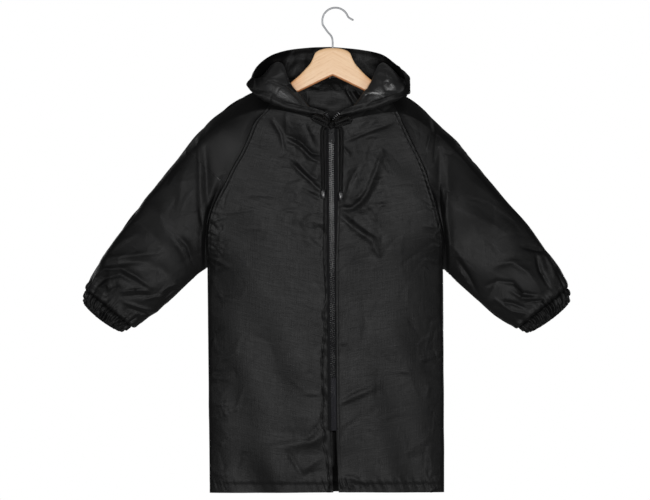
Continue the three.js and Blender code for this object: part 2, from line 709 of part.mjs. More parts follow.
const bowLoops = {
  left: [[-13.4, -53, -201], [-16.5, -53.1, -200.7], [-22, -53.5, -198.2], [-29, -53.5, -194],
    [-36, -53, -192.5], [-39.5, -52.8, -196.5], [-37, -52.5, -202], [-30, -52.5, -205],
    [-22, -53, -206.3], [-16.5, -53, -206.8], [-13.6, -53, -206.8]],
  right: [[-0.6, -53, -201], [2.5, -53.1, -200.9], [7.5, -53.5, -199.5], [14, -53.5, -197],
    [21.5, -53, -197], [25.5, -52.8, -201], [22.5, -52.5, -205.6], [15, -52.5, -207],
    [8, -53, -207], [2.5, -53, -206.8], [-0.4, -53, -206.8]],
};
const cordTails = {
  left: [[-12.5, -52.8, -212.7], [-16.5, -52.7, -212.9], [-20.5, -52, -214.5], [-22.8, -50.5, -219],
    [-23.2, -48.6, -227], [-23, -46.5, -243], [-22.6, -44.8, -265], [-22, -43.8, -290], [-21.5, -43.3, -318]],
  right: [[-1.5, -52.8, -212.7], [2.8, -52.7, -212.9], [7.2, -52, -214.5], [9.8, -50.5, -219],
    [10.5, -48.6, -227], [10.7, -46.5, -243], [10.4, -44.8, -265], [9.8, -43.8, -292], [9, -43.3, -321]],
};

// From the hood's front edge to the back of the knot
const cordLeads = {
  left: [[-21.5, -41.6, -190], [-20.6, -43.6, -190.8], [-17.6, -45.4, -193.8],
    [-13.6, -46, -198.2], [-10.9, -46.9, -201.4], [-10.2, -48.6, -202.3]],
  right: [[7.6, -41.6, -190], [6.6, -43.6, -190.8], [3.6, -45.4, -193.8],
    [-0.4, -46, -198.2], [-3.1, -46.9, -201.4], [-3.8, -48.6, -202.3]],
};

function addCords() {
  const knot = new THREE.SphereGeometry(1, 12, 8).scale(KNOT.rx, KNOT.rz, KNOT.ry);
  const mesh = addMesh('bow_knot', knot, 'cord');
  mesh.rotation.x = Math.PI / 2;
  mesh.position.set(KNOT.x, KNOT.y, KNOT.z);
  for (const { name: side } of sides) {
    addMesh(`bow_loop_${side}`, tube(bowLoops[side], CORD, 14), 'cord');
    addMesh(`cord_tail_${side}`, tube(cordTails[side], CORD, 14), 'cord');
    addMesh(`cord_lead_${side}`, tube(cordLeads[side], CORD, 8), 'cord');
    const end = cordTails[side].at(-1);
    const profile = [
      [0, 0], [BELL.top, 0], [BELL.top + 0.8, -3], [BELL.widest, -10],
      [BELL.widest - 0.3, -13.5], [BELL.bottom, -BELL.length], [0, -BELL.length],
    ].map(([radius, z]) => new THREE.Vector2(radius, z));
    const bell = addMesh(`cord_end_${side}`, new THREE.LatheGeometry(profile.reverse(), 12), 'plastic');
    bell.rotation.x = Math.PI / 2;
    bell.position.set(end[0], end[1], end[2] - CORD_FIT);
  }
}

// Hanger: half outline from the stem outwards, distance from the stem and z
const woodTop = [[16, -70.5], [25, -73.5], [31, -78], [34, -86], [39, -96], [48, -106.5], [58, -117],
  [72, -128.5], [85, -140.5], [110, -155], [146, -175.5]];
const woodTip = [[150.5, -180], [149, -186]];
const WOOD_APEX_Z = -118;
const WOOD_END_Z = -187.5;
const WOOD_END_X = 145;

function addHanger() {
  const shape = new THREE.Shape();
  const half = [...woodTop, ...woodTip, [WOOD_END_X, WOOD_END_Z], [4, WOOD_APEX_Z - 1.6]];
  shape.moveTo(0, -69);
  for (const [x, z] of half) shape.lineTo(x, z);
  shape.lineTo(0, WOOD_APEX_Z);
  for (const [x, z] of [...half].reverse()) shape.lineTo(-x, z);
  shape.closePath();
  const geometry = new THREE.ExtrudeGeometry(shape, {
    depth: WOOD_DEPTH - 2 * WOOD_BEVEL, bevelThickness: WOOD_BEVEL, bevelSize: WOOD_BEVEL,
    bevelOffset: -WOOD_BEVEL, bevelSegments: 2,
  });
  const wood = addMesh('hanger_wood', geometry.translate(0, 0, -(WOOD_DEPTH / 2 - WOOD_BEVEL)), 'wood');
  wood.rotation.x = Math.PI / 2;
  wood.position.set(STEM_X, 0, 0);
  const arc = [];
  for (let turn = 200; turn >= 20; turn -= 20) {
    const angle = (turn * Math.PI) / 180;
    arc.push([HOOK_RADIUS * Math.cos(angle), 0, HOOK_CENTRE_Z + HOOK_RADIUS * Math.sin(angle)]);
  }
  const route = [[STEM_X, 0, -68.6], [STEM_X, 0, -58], [-7, 0, -49], [-14, 0, -40.5], ...arc,
    [24.5, 0, -16.5], [32, 0, -20.5]];
  addMesh('hanger_hook', tube(route, WIRE, 40), 'steel');
}

addBody();
addSleeves();
addCuffs();
addHood();
buildPanels();
addZip();
addSlider();
addPull();
addCords();
addHanger();

export default group;
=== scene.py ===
import math

import bmesh
import bpy
import numpy as np
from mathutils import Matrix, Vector


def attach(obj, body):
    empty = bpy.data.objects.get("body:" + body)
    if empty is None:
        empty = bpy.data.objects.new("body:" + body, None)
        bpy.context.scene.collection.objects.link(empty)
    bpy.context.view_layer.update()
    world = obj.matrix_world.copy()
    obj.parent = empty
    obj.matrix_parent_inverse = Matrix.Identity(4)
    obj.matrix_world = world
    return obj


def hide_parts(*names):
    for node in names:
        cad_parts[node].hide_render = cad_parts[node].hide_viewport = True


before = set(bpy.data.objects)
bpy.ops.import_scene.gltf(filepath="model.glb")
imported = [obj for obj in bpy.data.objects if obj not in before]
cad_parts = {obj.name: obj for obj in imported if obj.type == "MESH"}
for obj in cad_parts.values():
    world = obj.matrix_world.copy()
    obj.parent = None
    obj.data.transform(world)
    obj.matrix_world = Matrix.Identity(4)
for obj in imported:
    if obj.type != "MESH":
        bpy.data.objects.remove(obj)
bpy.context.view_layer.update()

MM = 0.001
BODY = "coat"

# Places of the photo: one pixel is 1.75 mm, and the hook's inner top is the origin
PIXEL = 1.75
ORIGIN_PX = (335.5, 7.8)
PHOTO_SIZE = (650, 500)
CAMERA_DISTANCE = 9.0
FRONT_Y = -30

# Cloth
CLOTH_THICKNESS = 0.9
SEAM_HALF_GAP = 0.15
NECK_CURVE = 1.5
AROUND = 24
NECK_STEPS = 2
ARMHOLE_ROWS = 10
BODY_ROWS = 19
ZIP_END_ROW = 16
ZIP_LEFT_EDGE = 9.6
# Rows, and how far the right front's edge stays from the zip's middle line there
ZIP_RIGHT_EDGE = ([5.8, 9.2], [9.2, 5.4])
SLIT_SHARE = 0.6
CUFF_RING = 9
CUFF_END = 10
ARMHOLE_FADE = 5
SKIRT_ROWS = 9
SKIRT_WAVE = 2.2
SKIRT_WAVE_LENGTH = 96
SKIRT_WAVE_LEAN = 0.32
ARMHOLE_DIP = [0, 7, -2.5, 0]
HEM_Z = -831
CHEST_SWELL = 6.5
CHEST_RISE = 30
CHEST_FALL = 230
CHEST_FROM_ZIP = 38
GATHERS = 22

# Stitched lines, by their distance from the edges
HEM_STITCH = 19
RAGLAN_STITCH = 7
ZIP_STITCH = 3.4
CUFF_STITCH = 3.5
YOKE_STITCH = 4
STITCH_PITCH = 3.2
STITCH_LENGTH = 2.3
THREAD = 0.5
THREAD_SIDES = 6
ELASTIC_ROW = 0.62

# Cord and zip
CORD = 6.6
BRAID_HEIGHT = 0.55
TOOTH_PITCH = 3.78
CHAIN_SHIFT = -1.4
ZIP_ROLL = 1.3
ZIP_ROLL_WIDTH = 3.4
ZIP_OPEN_Z = -203
OPEN_SPREAD = 1.0
FILM_ROWS = (16, 18)

ARMHOLE = {
    "left": [
        [-120, -177, 33], [-141, -199, 34], [-153, -227, 34], [-166, -255, 33],
        [-181, -281, 32], [-194, -308, 30], [-208, -335, 28], [-219, -363, 25],
        [-223, -393, 20], [-224, -423, 12], [-224, -454, 0],
    ],
    "right": [
        [108, -182, 33], [121, -208, 34], [133.5, -234, 34], [146.5, -260, 33],
        [158, -287, 32], [166.5, -314, 30], [175, -342, 28], [182, -370, 25],
        [187, -398, 20], [188, -427, 12], [188, -456, 0],
    ],
}
BACK_NECK = {"left": [-98, -146, 30], "right": [80, -147, 30]}
BACK_MEETS_FRONT_ROW = 4
SHOULDER_NECK = {"left": [-92, -133], "right": [76, -130]}
SIDE_SEAM = {
    "left": [
        [-224, -454], [-223.5, -502], [-223, -550], [-222.5, -598], [-222, -646],
        [-221.5, -693], [-221, -740], [-220.5, -786], [-220, -832], [-220, -850],
    ],
    "right": [
        [188, -456], [188.5, -503], [188.5, -551], [189, -598], [189, -646],
        [189.5, -693], [189.5, -740], [190, -786], [190, -832], [190, -849],
    ],
}

# Middle by row: front z, zip x, front half depth, back z, back x, back half depth
MIDDLE = [
    [-202, -7, 39, -140, -10, 34], [-226, -6.1, 39, -172, -10, 34],
    [-252, -6, 38, -204, -10.5, 34], [-278, -5.9, 37.5, -236, -11, 34],
    [-304, -5.7, 37, -268, -11.5, 34], [-330, -5.5, 36.5, -300, -12, 33],
    [-356, -5.3, 36, -332, -12, 33], [-382, -5.1, 35, -364, -12.5, 32],
    [-408, -4.9, 34, -396, -13, 31], [-434, -4.7, 33, -428, -13.5, 30],
    [-460, -4.5, 32, -460, -14, 29], [-507, -4.2, 30, -506, -14, 28],
    [-554, -4, 28.5, -553, -14.5, 27], [-601, -3.7, 27, -600, -14.5, 26],
    [-648, -3.4, 26, -647, -15, 25], [-694, -3, 25, -693, -15, 24],
    [-740, -2.4, 24, -739, -15, 23], [-786, -0.6, 23, -785, -15, 22.5],
    [-832, 1.4, 22.5, -831, -15, 22], [-848.5, 2.2, 22.5, -848.5, -15, 22],
]

# Sleeve rings: lower edge x, z, upper edge x, z, half depth
SLEEVE_RINGS = {
    "left": [
        [-224, -454, -92, -133, 30], [-228, -457, -129, -143, 29],
        [-234, -461, -174, -163, 28], [-241, -466, -227, -205, 26],
        [-251, -475, -279, -266, 24], [-267, -490, -328, -328, 23],
        [-290, -511, -372, -385, 22], [-314, -532, -405, -431, 21],
        [-337, -548, -426, -468, 18], [-358, -559, -438, -494, 14],
        [-374, -566, -442, -514, 13],
    ],
    "right": [
        [188, -456, 76, -130, 30], [193, -459, 107, -144, 29],
        [199, -464, 150, -174, 28], [206, -471, 199, -221, 26],
        [216, -482, 248, -276, 24], [232, -496, 295, -333, 23],
        [256, -518, 339, -384, 22], [281, -538, 372, -426, 21],
        [304, -554, 395, -460, 18], [321, -561, 408, -491, 14],
        [335, -568, 411, -512, 13],
    ],
}
YOKE_SEAM = {"left": [-262, -250, 5], "right": [220, -244, 4]}

# Hood sections from the neck to the rim, each point x, y, z
HOOD_AT = [0, 0.12, 0.24, 0.36, 0.43, 0.5, 0.57, 0.64, 0.76, 0.88, 1]
HOOD_SECTIONS = [
    [[-14, -39.3, -199], [-15.5, -39.6, -196], [-17, -40, -193],
     [-18.5, -40.4, -190], [-19.5, -40.8, -187], [-20.3, -41.2, -184]],
    [[-46, -36, -184], [-44, -31.5, -177], [-46, -32.5, -176],
     [-47, -35.5, -181], [-48, -39, -184.5], [-48.5, -42.5, -183]],
    [[-80, -32, -171], [-62, -25, -153], [-76, -29.5, -149],
     [-86, -33.4, -166], [-88, -38.5, -174], [-89, -43, -174.5]],
    [[-108, -27, -160], [-78, -20, -133], [-98, -26.5, -131],
     [-112, -29.5, -148], [-119, -35, -160], [-121, -42, -163]],
    [[-99, -14, -141], [-85, -13, -113], [-112, -19.5, -118],
     [-128, -23, -134], [-139, -29, -146], [-146, -36, -147]],
    [[-92, 1, -121], [-95, 4, -97], [-114, 3, -105],
     [-130, -1, -121], [-141, -6, -127], [-148, -14, -127]],
    [[-96, 19, -124], [-101, 23, -98], [-116, 24, -108],
     [-130, 22, -126], [-141, 16, -129], [-146, 7, -121]],
    [[-99, 33, -132], [-101, 38, -119], [-111, 41, -140],
     [-124, 42, -178], [-136, 49, -180], [-142, 38, -130]],
    [[-71, 35, -132], [-72, 40, -125], [-80, 42.5, -160],
     [-93, 44, -228], [-102, 56, -230], [-104, 56, -140]],
    [[-42, 36, -131], [-43, 41, -125], [-47, 43, -166],
     [-53, 45, -246], [-57, 58, -249], [-57, 60, -148]],
    [[-10, 37, -130], [-10, 42, -125], [-10, 43.5, -168],
     [-10, 45, -252], [-10, 59, -255], [-10, 61, -150]],
]
HOOD_RIGHT_FRONT = [
    [-0.4, -39.3, -199], [1.2, -39.6, -196], [3, -40, -193],
    [5, -40.4, -190], [7, -40.8, -187], [9, -41.2, -184],
]
HOOD_AXIS = -7
# Shares of the neck seam: its front part, its back part and what goes over the shoulder
NECK_FRONT = 0.36
NECK_BACK = 0.64
NECK_OVER = 0.14
RIGHT_SCALE = 0.97

# Hood rim by the same sections: left x, y, z and right x, y, z
HOOD_RIM = [
    [-21, -41.5, -181, 11, -41.5, -181], [-48, -43.5, -173, 34, -43.5, -171],
    [-88, -44, -163, 72, -44, -161], [-117, -44, -148, 104, -44, -150],
    [-155, -33, -137, 130, -33, -150], [-146, -20, -119, 123, -20, -126],
    [-138, 0, -103, 118, 0, -112], [-120, 20, -85, 106, 20, -97],
    [-90, 42, -72.5, 82, 42, -79], [-48, 52.5, -66.5, 44, 52.5, -70],
    [-8, 55, -65, -8, 55, -65],
]

# Cord routes; each loop lies with its two strands side by side, and the tails drop from behind them
BOW_LOOPS = {
    "left": [[-13.4, -53, -202.4], [-18.6, -54, -199.4], [-24.4, -55, -195.8], [-31.2, -55, -191.8],
             [-36, -54.4, -190.3], [-39, -53.8, -192.4], [-38, -53.4, -196],
             [-33, -53.2, -198.7], [-26.6, -53, -202], [-19, -53, -205.6], [-13.6, -53, -207.8]],
    "right": [[-0.6, -53, -202.4], [4.4, -54, -200.4], [10.2, -55, -197.8], [17.4, -55, -194.8],
              [22.4, -54.4, -193.8], [25.6, -53.8, -196.2], [24.6, -53.4, -199.8],
              [19.4, -53.2, -201.6], [12.2, -53, -204], [5, -53, -206.4], [-0.4, -53, -207.8]],
}
CORD_TAILS = {
    "left": [[-12.5, -50, -207.5], [-16.5, -48.2, -207.8], [-20.5, -47.4, -210],
             [-23, -47, -216], [-23.3, -46.6, -227], [-23, -45.6, -243],
             [-22.6, -44.6, -265], [-22, -43.8, -290], [-21.5, -43.3, -318]],
    "right": [[-1.5, -50, -207.5], [2.8, -48.2, -207.8], [7.2, -47.4, -210],
              [10, -47, -216], [10.6, -46.6, -227], [10.7, -45.6, -243],
              [10.4, -44.6, -265], [9.8, -43.8, -292], [9, -43.3, -321]],
}
CORD_LEADS = {
    "left": [[-21.5, -41.6, -190], [-20.6, -43.6, -190.8], [-17.6, -45.4, -193.8],
             [-13.6, -46, -198.2], [-10.9, -46.9, -201.4], [-10.2, -48.6, -202.3]],
    "right": [[7.6, -41.6, -190], [6.6, -43.6, -190.8], [3.6, -45.4, -193.8],
              [-0.4, -46, -198.2], [-3.1, -46.9, -201.4], [-3.8, -48.6, -202.3]],
}
KNOT = {"centre": (-7, -52.5, -206), "radii": (6.5, 4.8, 8)}

# Hanger: distance from the stem and z of the top and the lower edge
STEM_X = -5
WOOD_HALF_DEPTH = 6
WOOD_TOP = [
    [0, -69], [8, -69.2], [16, -70.5], [25, -73.5], [31, -78], [34, -86], [39, -96],
    [48, -106.5], [58, -117], [72, -128.5], [85, -140.5], [110, -155], [146, -175.5],
    [150.5, -180],
]
LOWER_EDGE = 3.4
WOOD_LOWER = [[0, -118], [4, -119.6], [145, -187.5], [149, -186], [150.5, -181]]
WIRE = 3.2
HOOK_RADIUS = 23.1
HOOK_CENTRE_Z = -21.5


# Camera, light and floor
def photo_point(px, py):
    """x and z in millimetres of a pixel of the photo."""
    return (px - ORIGIN_PX[0]) * PIXEL, -(py - ORIGIN_PX[1]) * PIXEL


def add_camera():
    centre_x, centre_z = photo_point(PHOTO_SIZE[0] / 2, PHOTO_SIZE[1] / 2)
    data = bpy.data.cameras.new("camera")
    data.sensor_width = 36
    data.lens = data.sensor_width * CAMERA_DISTANCE / (PHOTO_SIZE[0] * PIXEL * MM)
    data.clip_end = 60
    camera = bpy.data.objects.new("camera", data)
    camera.location = (centre_x * MM, FRONT_Y * MM - CAMERA_DISTANCE, centre_z * MM)
    camera.rotation_euler = (math.pi / 2, 0, 0)
    bpy.context.collection.objects.link(camera)
    bpy.context.scene.camera = camera
    bpy.context.scene.view_settings.view_transform = "Standard"


def add_area(name, place, target, size, watts):
    """A soft box lamp that looks at its target."""
    data = bpy.data.lights.new(name, "AREA")
    data.shape = "RECTANGLE"
    data.size, data.size_y = size
    data.energy = watts
    light = bpy.data.objects.new(name, data)
    light.location = place
    aim = Vector(target) - Vector(place)
    light.rotation_euler = aim.to_track_quat("-Z", "Y").to_euler()
    bpy.context.collection.objects.link(light)


def add_studio():
    world = bpy.data.worlds.new("studio")
    bpy.context.scene.world = world
    world.use_nodes = True
    nodes, links = world.node_tree.nodes, world.node_tree.links
    nodes.clear()
    seen = nodes.new("ShaderNodeBackground")
    seen.inputs["Color"].default_value = (1, 1, 1, 1)
    seen.inputs["Strength"].default_value = 1.0
    fill = nodes.new("ShaderNodeBackground")
    fill.inputs["Color"].default_value = (1, 1, 1, 1)
    fill.inputs["Strength"].default_value = 0.12
    path = nodes.new("ShaderNodeLightPath")
    mix = nodes.new("ShaderNodeMixShader")
    out = nodes.new("ShaderNodeOutputWorld")
    links.new(path.outputs["Is Camera Ray"], mix.inputs[0])
    links.new(fill.outputs[0], mix.inputs[1])
    links.new(seen.outputs[0], mix.inputs[2])
    links.new(mix.outputs[0], out.inputs["Surface"])
    middle = (0, 0, -0.42)
    add_area("front", (-0.05, -3.4, -0.47), middle, (1.3, 0.3), 61)
    add_area("key", (-2.1, -2.0, 0.1), middle, (0.5, 1.0), 11)
    add_area("fill", (2.2, -2.0, -0.3), middle, (0.5, 1.2), 10)
    add_area("top", (0.2, -0.9, 1.9), middle, (1.2, 0.5), 2.5)
    add_area("behind", (0.1, 3.4, -0.4), middle, (1.3, 0.6), 50)
    add_area("behind_left", (-2.2, 1.9, 0.2), middle, (0.5, 1.0), 17)
    add_area("behind_right", (2.2, 1.9, -0.1), middle, (0.5, 1.0), 17)


def add_floor():
    mesh = bpy.data.meshes.new("floor")
    floor = bpy.data.objects.new("floor", mesh)
    bpy.context.collection.objects.link(floor)
    shape = bmesh.new()
    bmesh.ops.create_circle(shape, cap_ends=True, segments=96, radius=1.1)
    shape.to_mesh(mesh)
    shape.free()
    floor.location.z = -1.12
    mesh.materials.append(plain_material("pale_floor", (0.82, 0.82, 0.81), 0.7))


# Materials
class Shader:
    """A principled material with helpers for its procedural nodes."""

    def __init__(self, name, colour, roughness, **values):
        self.material = bpy.data.materials.new(name)
        self.material.use_nodes = True
        self.nodes = self.material.node_tree.nodes
        self.links = self.material.node_tree.links
        self.out = self.nodes["Principled BSDF"]
        self.out.inputs["Base Color"].default_value = (*colour, 1)
        self.out.inputs["Roughness"].default_value = roughness
        for key, value in values.items():
            self.out.inputs[key.replace("_", " ")].default_value = value

    def coordinates(self, kind, scale=(1, 1, 1), turn=(0, 0, 0)):
        source = self.nodes.new("ShaderNodeTexCoord")
        mapping = self.nodes.new("ShaderNodeMapping")
        mapping.inputs["Scale"].default_value = scale
        mapping.inputs["Rotation"].default_value = turn
        self.links.new(source.outputs[kind], mapping.inputs["Vector"])
        return mapping.outputs["Vector"]

    def noise(self, vector, scale, detail=3.0, roughness=0.5):
        node = self.nodes.new("ShaderNodeTexNoise")
        node.inputs["Scale"].default_value = scale
        node.inputs["Detail"].default_value = detail
        node.inputs["Roughness"].default_value = roughness
        self.links.new(vector, node.inputs["Vector"])
        return node.outputs["Fac"]

    def wave(self, vector, scale, direction, distortion=0.0):
        node = self.nodes.new("ShaderNodeTexWave")
        node.bands_direction = direction
        node.inputs["Scale"].default_value = scale
        node.inputs["Distortion"].default_value = distortion
        self.links.new(vector, node.inputs["Vector"])
        return node.outputs["Fac"]

    def math(self, operation, first, second):
        node = self.nodes.new("ShaderNodeMath")
        node.operation = operation
        for socket, value in zip(node.inputs, (first, second)):
            if isinstance(value, (int, float)):
                socket.default_value = value
            else:
                self.links.new(value, socket)
        return node.outputs[0]

    def span(self, value, low, high):
        node = self.nodes.new("ShaderNodeMapRange")
        node.inputs["To Min"].default_value = low
        node.inputs["To Max"].default_value = high
        self.links.new(value, node.inputs["Value"])
        return node.outputs[0]

    def ramp(self, value, stops):
        node = self.nodes.new("ShaderNodeValToRGB")
        elements = node.color_ramp.elements
        while len(elements) < len(stops):
            elements.new(0.5)
        for element, (place, colour) in zip(elements, stops):
            element.position = place
            element.color = (*colour, 1)
        self.links.new(value, node.inputs["Fac"])
        return node.outputs["Color"]

    def bump(self, height, distance, strength=1.0, below=None):
        node = self.nodes.new("ShaderNodeBump")
        node.inputs["Strength"].default_value = strength
        node.inputs["Distance"].default_value = distance
        self.links.new(height, node.inputs["Height"])
        if below is not None:
            self.links.new(below, node.inputs["Normal"])
        return node.outputs["Normal"]

    def part(self, vector, axis):
        node = self.nodes.new("ShaderNodeSeparateXYZ")
        self.links.new(vector, node.inputs[0])
        return node.outputs[axis]

    def tinted(self, colour, tint):
        node = self.nodes.new("ShaderNodeVectorMath")
        node.operation = "MULTIPLY"
        self.links.new(colour, node.inputs[0])
        self.links.new(tint, node.inputs[1])
        return node.outputs[0]

    def set(self, socket, value):
        self.links.new(value, self.out.inputs[socket])


def plain_material(name, colour, roughness):
    """One colour with a slightly uneven gloss."""
    shader = Shader(name, colour, roughness)
    position = shader.coordinates("Object")
    shader.set("Roughness", shader.span(shader.noise(position, 9), roughness - 0.05, roughness + 0.05))
    return shader.material


def taffeta(name, colour, roughness, gloss, pick):
    """Woven cloth: slubbed threads both ways, a fine plain weave and a soft satin sheen."""
    shader = Shader(name, colour, roughness, Specular_IOR_Level=gloss, Sheen_Weight=0.015,
                    Sheen_Roughness=0.4)
    threads = shader.coordinates("UV", (1000, 1000, 1))
    across = shader.coordinates("UV", (24, 900, 1))
    along = shader.coordinates("UV", (900, 24, 1))
    slubs = shader.math("ADD", shader.noise(across, 1.0, 2), shader.noise(along, 1.0, 2))
    weave = shader.math(
        "ADD",
        shader.wave(threads, 0.45, "X"),
        shader.wave(threads, 0.45, "Y"),
    )
    cloud = shader.noise(shader.coordinates("UV"), 7, 3)
    tone = shader.math("ADD", shader.math("MULTIPLY", slubs, 0.35), shader.math("MULTIPLY", cloud, 0.3))
    dark = tuple(0.78 * value for value in colour)
    light = tuple(1.25 * value for value in colour)
    shader.set("Base Color", shader.ramp(tone, [(0.3, dark), (0.72, light)]))
    shader.set("Roughness", shader.span(slubs, roughness - 0.06, roughness + 0.06))
    fine = shader.bump(weave, 0.00004, pick)
    shader.set("Normal", shader.bump(slubs, 0.00021, 1.0, fine))
    return shader.material


def twill_tape():
    """Black woven tape with slanting ribs."""
    shader = Shader("zip_tape_weave", (0.006, 0.006, 0.007), 0.62, Specular_IOR_Level=0.1,
                    Sheen_Weight=0.02)
    position = shader.coordinates("Object", (1, 1, 1), (0, math.radians(40), 0))
    ribs = shader.wave(position, 420, "X", 0.6)
    shader.set("Base Color", shader.ramp(
        ribs, [(0.2, (0.004, 0.004, 0.0045)), (0.8, (0.009, 0.009, 0.01))]))
    shader.set("Normal", shader.bump(ribs, 0.00012))
    return shader.material


def moulded(name, colour, roughness, gloss=0.5):
    """Smooth plastic or enamel with a fine grain."""
    shader = Shader(name, colour, roughness, Specular_IOR_Level=gloss)
    position = shader.coordinates("Object")
    grain = shader.noise(position, 1800, 2)
    shader.set("Roughness", shader.span(shader.noise(position, 60), roughness - 0.06, roughness + 0.08))
    shader.set("Normal", shader.bump(grain, 0.00004))
    return shader.material


def braid():
    """Braided cord: two ways of strands and loose fibres."""
    shader = Shader("cord_braid", (0.008, 0.008, 0.008), 0.3, Specular_IOR_Level=0.07)
    fibres = shader.noise(shader.coordinates("UV"), 900, 2)
    one = shader.wave(shader.coordinates("UV", (1, 1, 1), (0, 0, math.radians(48))), 105, "X")
    two = shader.wave(shader.coordinates("UV", (1, 1, 1), (0, 0, math.radians(-48))), 105, "X")
    plait = shader.math("MULTIPLY", one, two)
    shader.set("Base Color", shader.ramp(
        plait, [(0.05, (0.003, 0.003, 0.003)), (0.5, (0.007, 0.007, 0.007)), (0.95, (0.05, 0.05, 0.05))]))
    shader.set("Roughness", shader.span(fibres, 0.32, 0.5))
    shader.set("Normal", shader.bump(plait, 0.0004, 1.0, shader.bump(fibres, 0.00006)))
    return shader.material


PALE_WOOD = [(0.28, (0.63, 0.34, 0.15)), (0.45, (0.85, 0.54, 0.29)), (0.7, (0.95, 0.67, 0.42))]
AMBER_WOOD = [(0.28, (0.3, 0.11, 0.035)), (0.45, (0.5, 0.2, 0.075)), (0.7, (0.62, 0.28, 0.12))]


def beech(name, tones):
    """Pale beech: long grain along the arms and short dark flecks."""
    shader = Shader(name, tones[1][1], 0.42, Coat_Weight=0.15, Coat_Roughness=0.3)
    grain = shader.coordinates("UV", (14, 260, 1))
    flecks = shader.coordinates("UV", (160, 900, 1))
    rings = shader.noise(grain, 1.0, 5, 0.6)
    dots = shader.noise(flecks, 1.0, 2)
    tone = shader.math("ADD", shader.math("MULTIPLY", rings, 0.75), shader.math("MULTIPLY", dots, 0.25))
    place = shader.part(shader.coordinates("Object"), "X")
    reach = shader.math("ABSOLUTE", shader.math("SUBTRACT", place, STEM_X * MM), 0)
    warm = shader.ramp(shader.math("DIVIDE", reach, 150 * MM), [
        (0.3, (1, 1, 1)), (0.42, (1, 0.86, 0.74)), (0.54, (0.93, 0.6, 0.4))])
    shader.set("Base Color", shader.tinted(shader.ramp(tone, tones), warm))
    shader.set("Roughness", shader.span(rings, 0.36, 0.52))
    shader.set("Normal", shader.bump(tone, 0.0002))
    return shader.material


def steel_wire():
    """Bright drawn wire, slightly uneven along its length."""
    shader = Shader("chrome_wire", (0.48, 0.49, 0.51), 0.58, Metallic=0.9)
    position = shader.coordinates("Object", (1, 1, 0.3))
    shader.set("Roughness", shader.span(shader.noise(position, 60, 2), 0.52, 0.64))
    return shader.material


# Meshes
def catmull(table, at):
    """Smooth values between the rows of a table, at fractional row numbers."""
    table = np.asarray(table, float)
    at = np.asarray(at, float)
    last = len(table) - 1
    index = np.clip(np.floor(at).astype(int), 0, last - 1)
    f = (at - index)[..., None]
    a, b, c, d = (table[np.clip(index + k, 0, last)] for k in (-1, 0, 1, 2))
    return 0.5 * (2 * b + (c - a) * f + (2 * a - 5 * b + 4 * c - d) * f * f
                  + (3 * b - a - 3 * c + d) * f ** 3)


def column_at(values, at):
    """A smooth value along a short list, and 0 outside it."""
    inside = (at > 0) & (at < len(values) - 1)
    return np.where(inside, catmull([[value] for value in values], at)[..., 0], 0)


def unit(vectors):
    return vectors / np.maximum(np.linalg.norm(vectors, axis=-1, keepdims=True), 1e-9)


def ease(value):
    """Smooth step from 0 to 1 about zero."""
    return 0.5 * (1 + np.tanh(value / 2))


def grid_normals(grid, wrap, outward):
    """Normals of a grid of points; outward is 1 or -1 for the winding."""
    down = np.gradient(grid, axis=0)
    if wrap:
        along = np.roll(grid, -1, axis=1) - np.roll(grid, 1, axis=1)
    else:
        along = np.gradient(grid, axis=1)
    return unit(np.cross(along, down)) * outward


def grid_faces(rows, columns, wrap, start=0, reverse=False):
    faces = []
    for i in range(rows - 1):
        for j in range(columns if wrap else columns - 1):
            n = (j + 1) % columns
            quad = [i * columns + j, i * columns + n, (i + 1) * columns + n, (i + 1) * columns + j]
            if reverse:
                quad.reverse()
            faces.append([start + k for k in quad])
    return faces


def capped_faces(rows, columns):
    """Faces of a closed tube of rings, with a cap at each end."""
    faces = grid_faces(rows, columns, True)
    faces.append(list(range(columns)))
    faces.append([(rows - 1) * columns + k for k in range(columns)][::-1])
    return faces


def rim_faces(rows, columns, wrap, count, reverse):
    """Quads that close the cloth's thickness along its free edges."""
    loops = [[(0, j) for j in range(columns)], [(rows - 1, j) for j in range(columns)][::-1]]
    if not wrap:
        loops += [[(i, columns - 1) for i in range(rows)], [(i, 0) for i in range(rows)][::-1]]
    faces = []
    for loop in loops:
        pairs = list(zip(loop, loop[1:]))
        if wrap:
            pairs.append((loop[-1], loop[0]))
        for (i, j), (k, m) in pairs:
            a, b = i * columns + j, k * columns + m
            quad = [b, a, a + count, b + count]
            if reverse:
                quad.reverse()
            faces.append(quad)
    return faces


def new_object(name, points, faces, material, uv=None, sharp=50):
    """A smooth mesh from millimetres; edges above the sharp angle stay crisp."""
    mesh = bpy.data.meshes.new(name)
    mesh.from_pydata((np.asarray(points) * MM).tolist(), [], faces)
    mesh.validate()
    if uv is not None:
        layer = mesh.uv_layers.new(name="uv")
        index = np.empty(len(mesh.loops), dtype=np.int32)
        mesh.loops.foreach_get("vertex_index", index)
        layer.data.foreach_set("uv", (np.asarray(uv) * MM)[index].ravel().astype(np.float32))
    mesh.polygons.foreach_set("use_smooth", np.full(len(mesh.polygons), True))
    mesh.set_sharp_from_angle(angle=math.radians(sharp))
    mesh.materials.append(material)
    piece = bpy.data.objects.new(name, mesh)
    bpy.context.collection.objects.link(piece)
    return piece


def grid_uv(grid):
    """Lengths along the cloth both ways, so the weave keeps its scale."""
    steps = np.linalg.norm(np.diff(grid, axis=1), axis=-1)
    across = np.concatenate([np.zeros((len(grid), 1)), np.cumsum(steps, axis=1)], axis=1)
    across -= across[:, grid.shape[1] // 2][:, None]
    steps = np.linalg.norm(np.diff(grid, axis=0), axis=-1)
    down = np.concatenate([np.zeros((1, grid.shape[1])), np.cumsum(steps, axis=0)], axis=0)
    return np.stack([across, -down], axis=-1)


SURFACES = {}


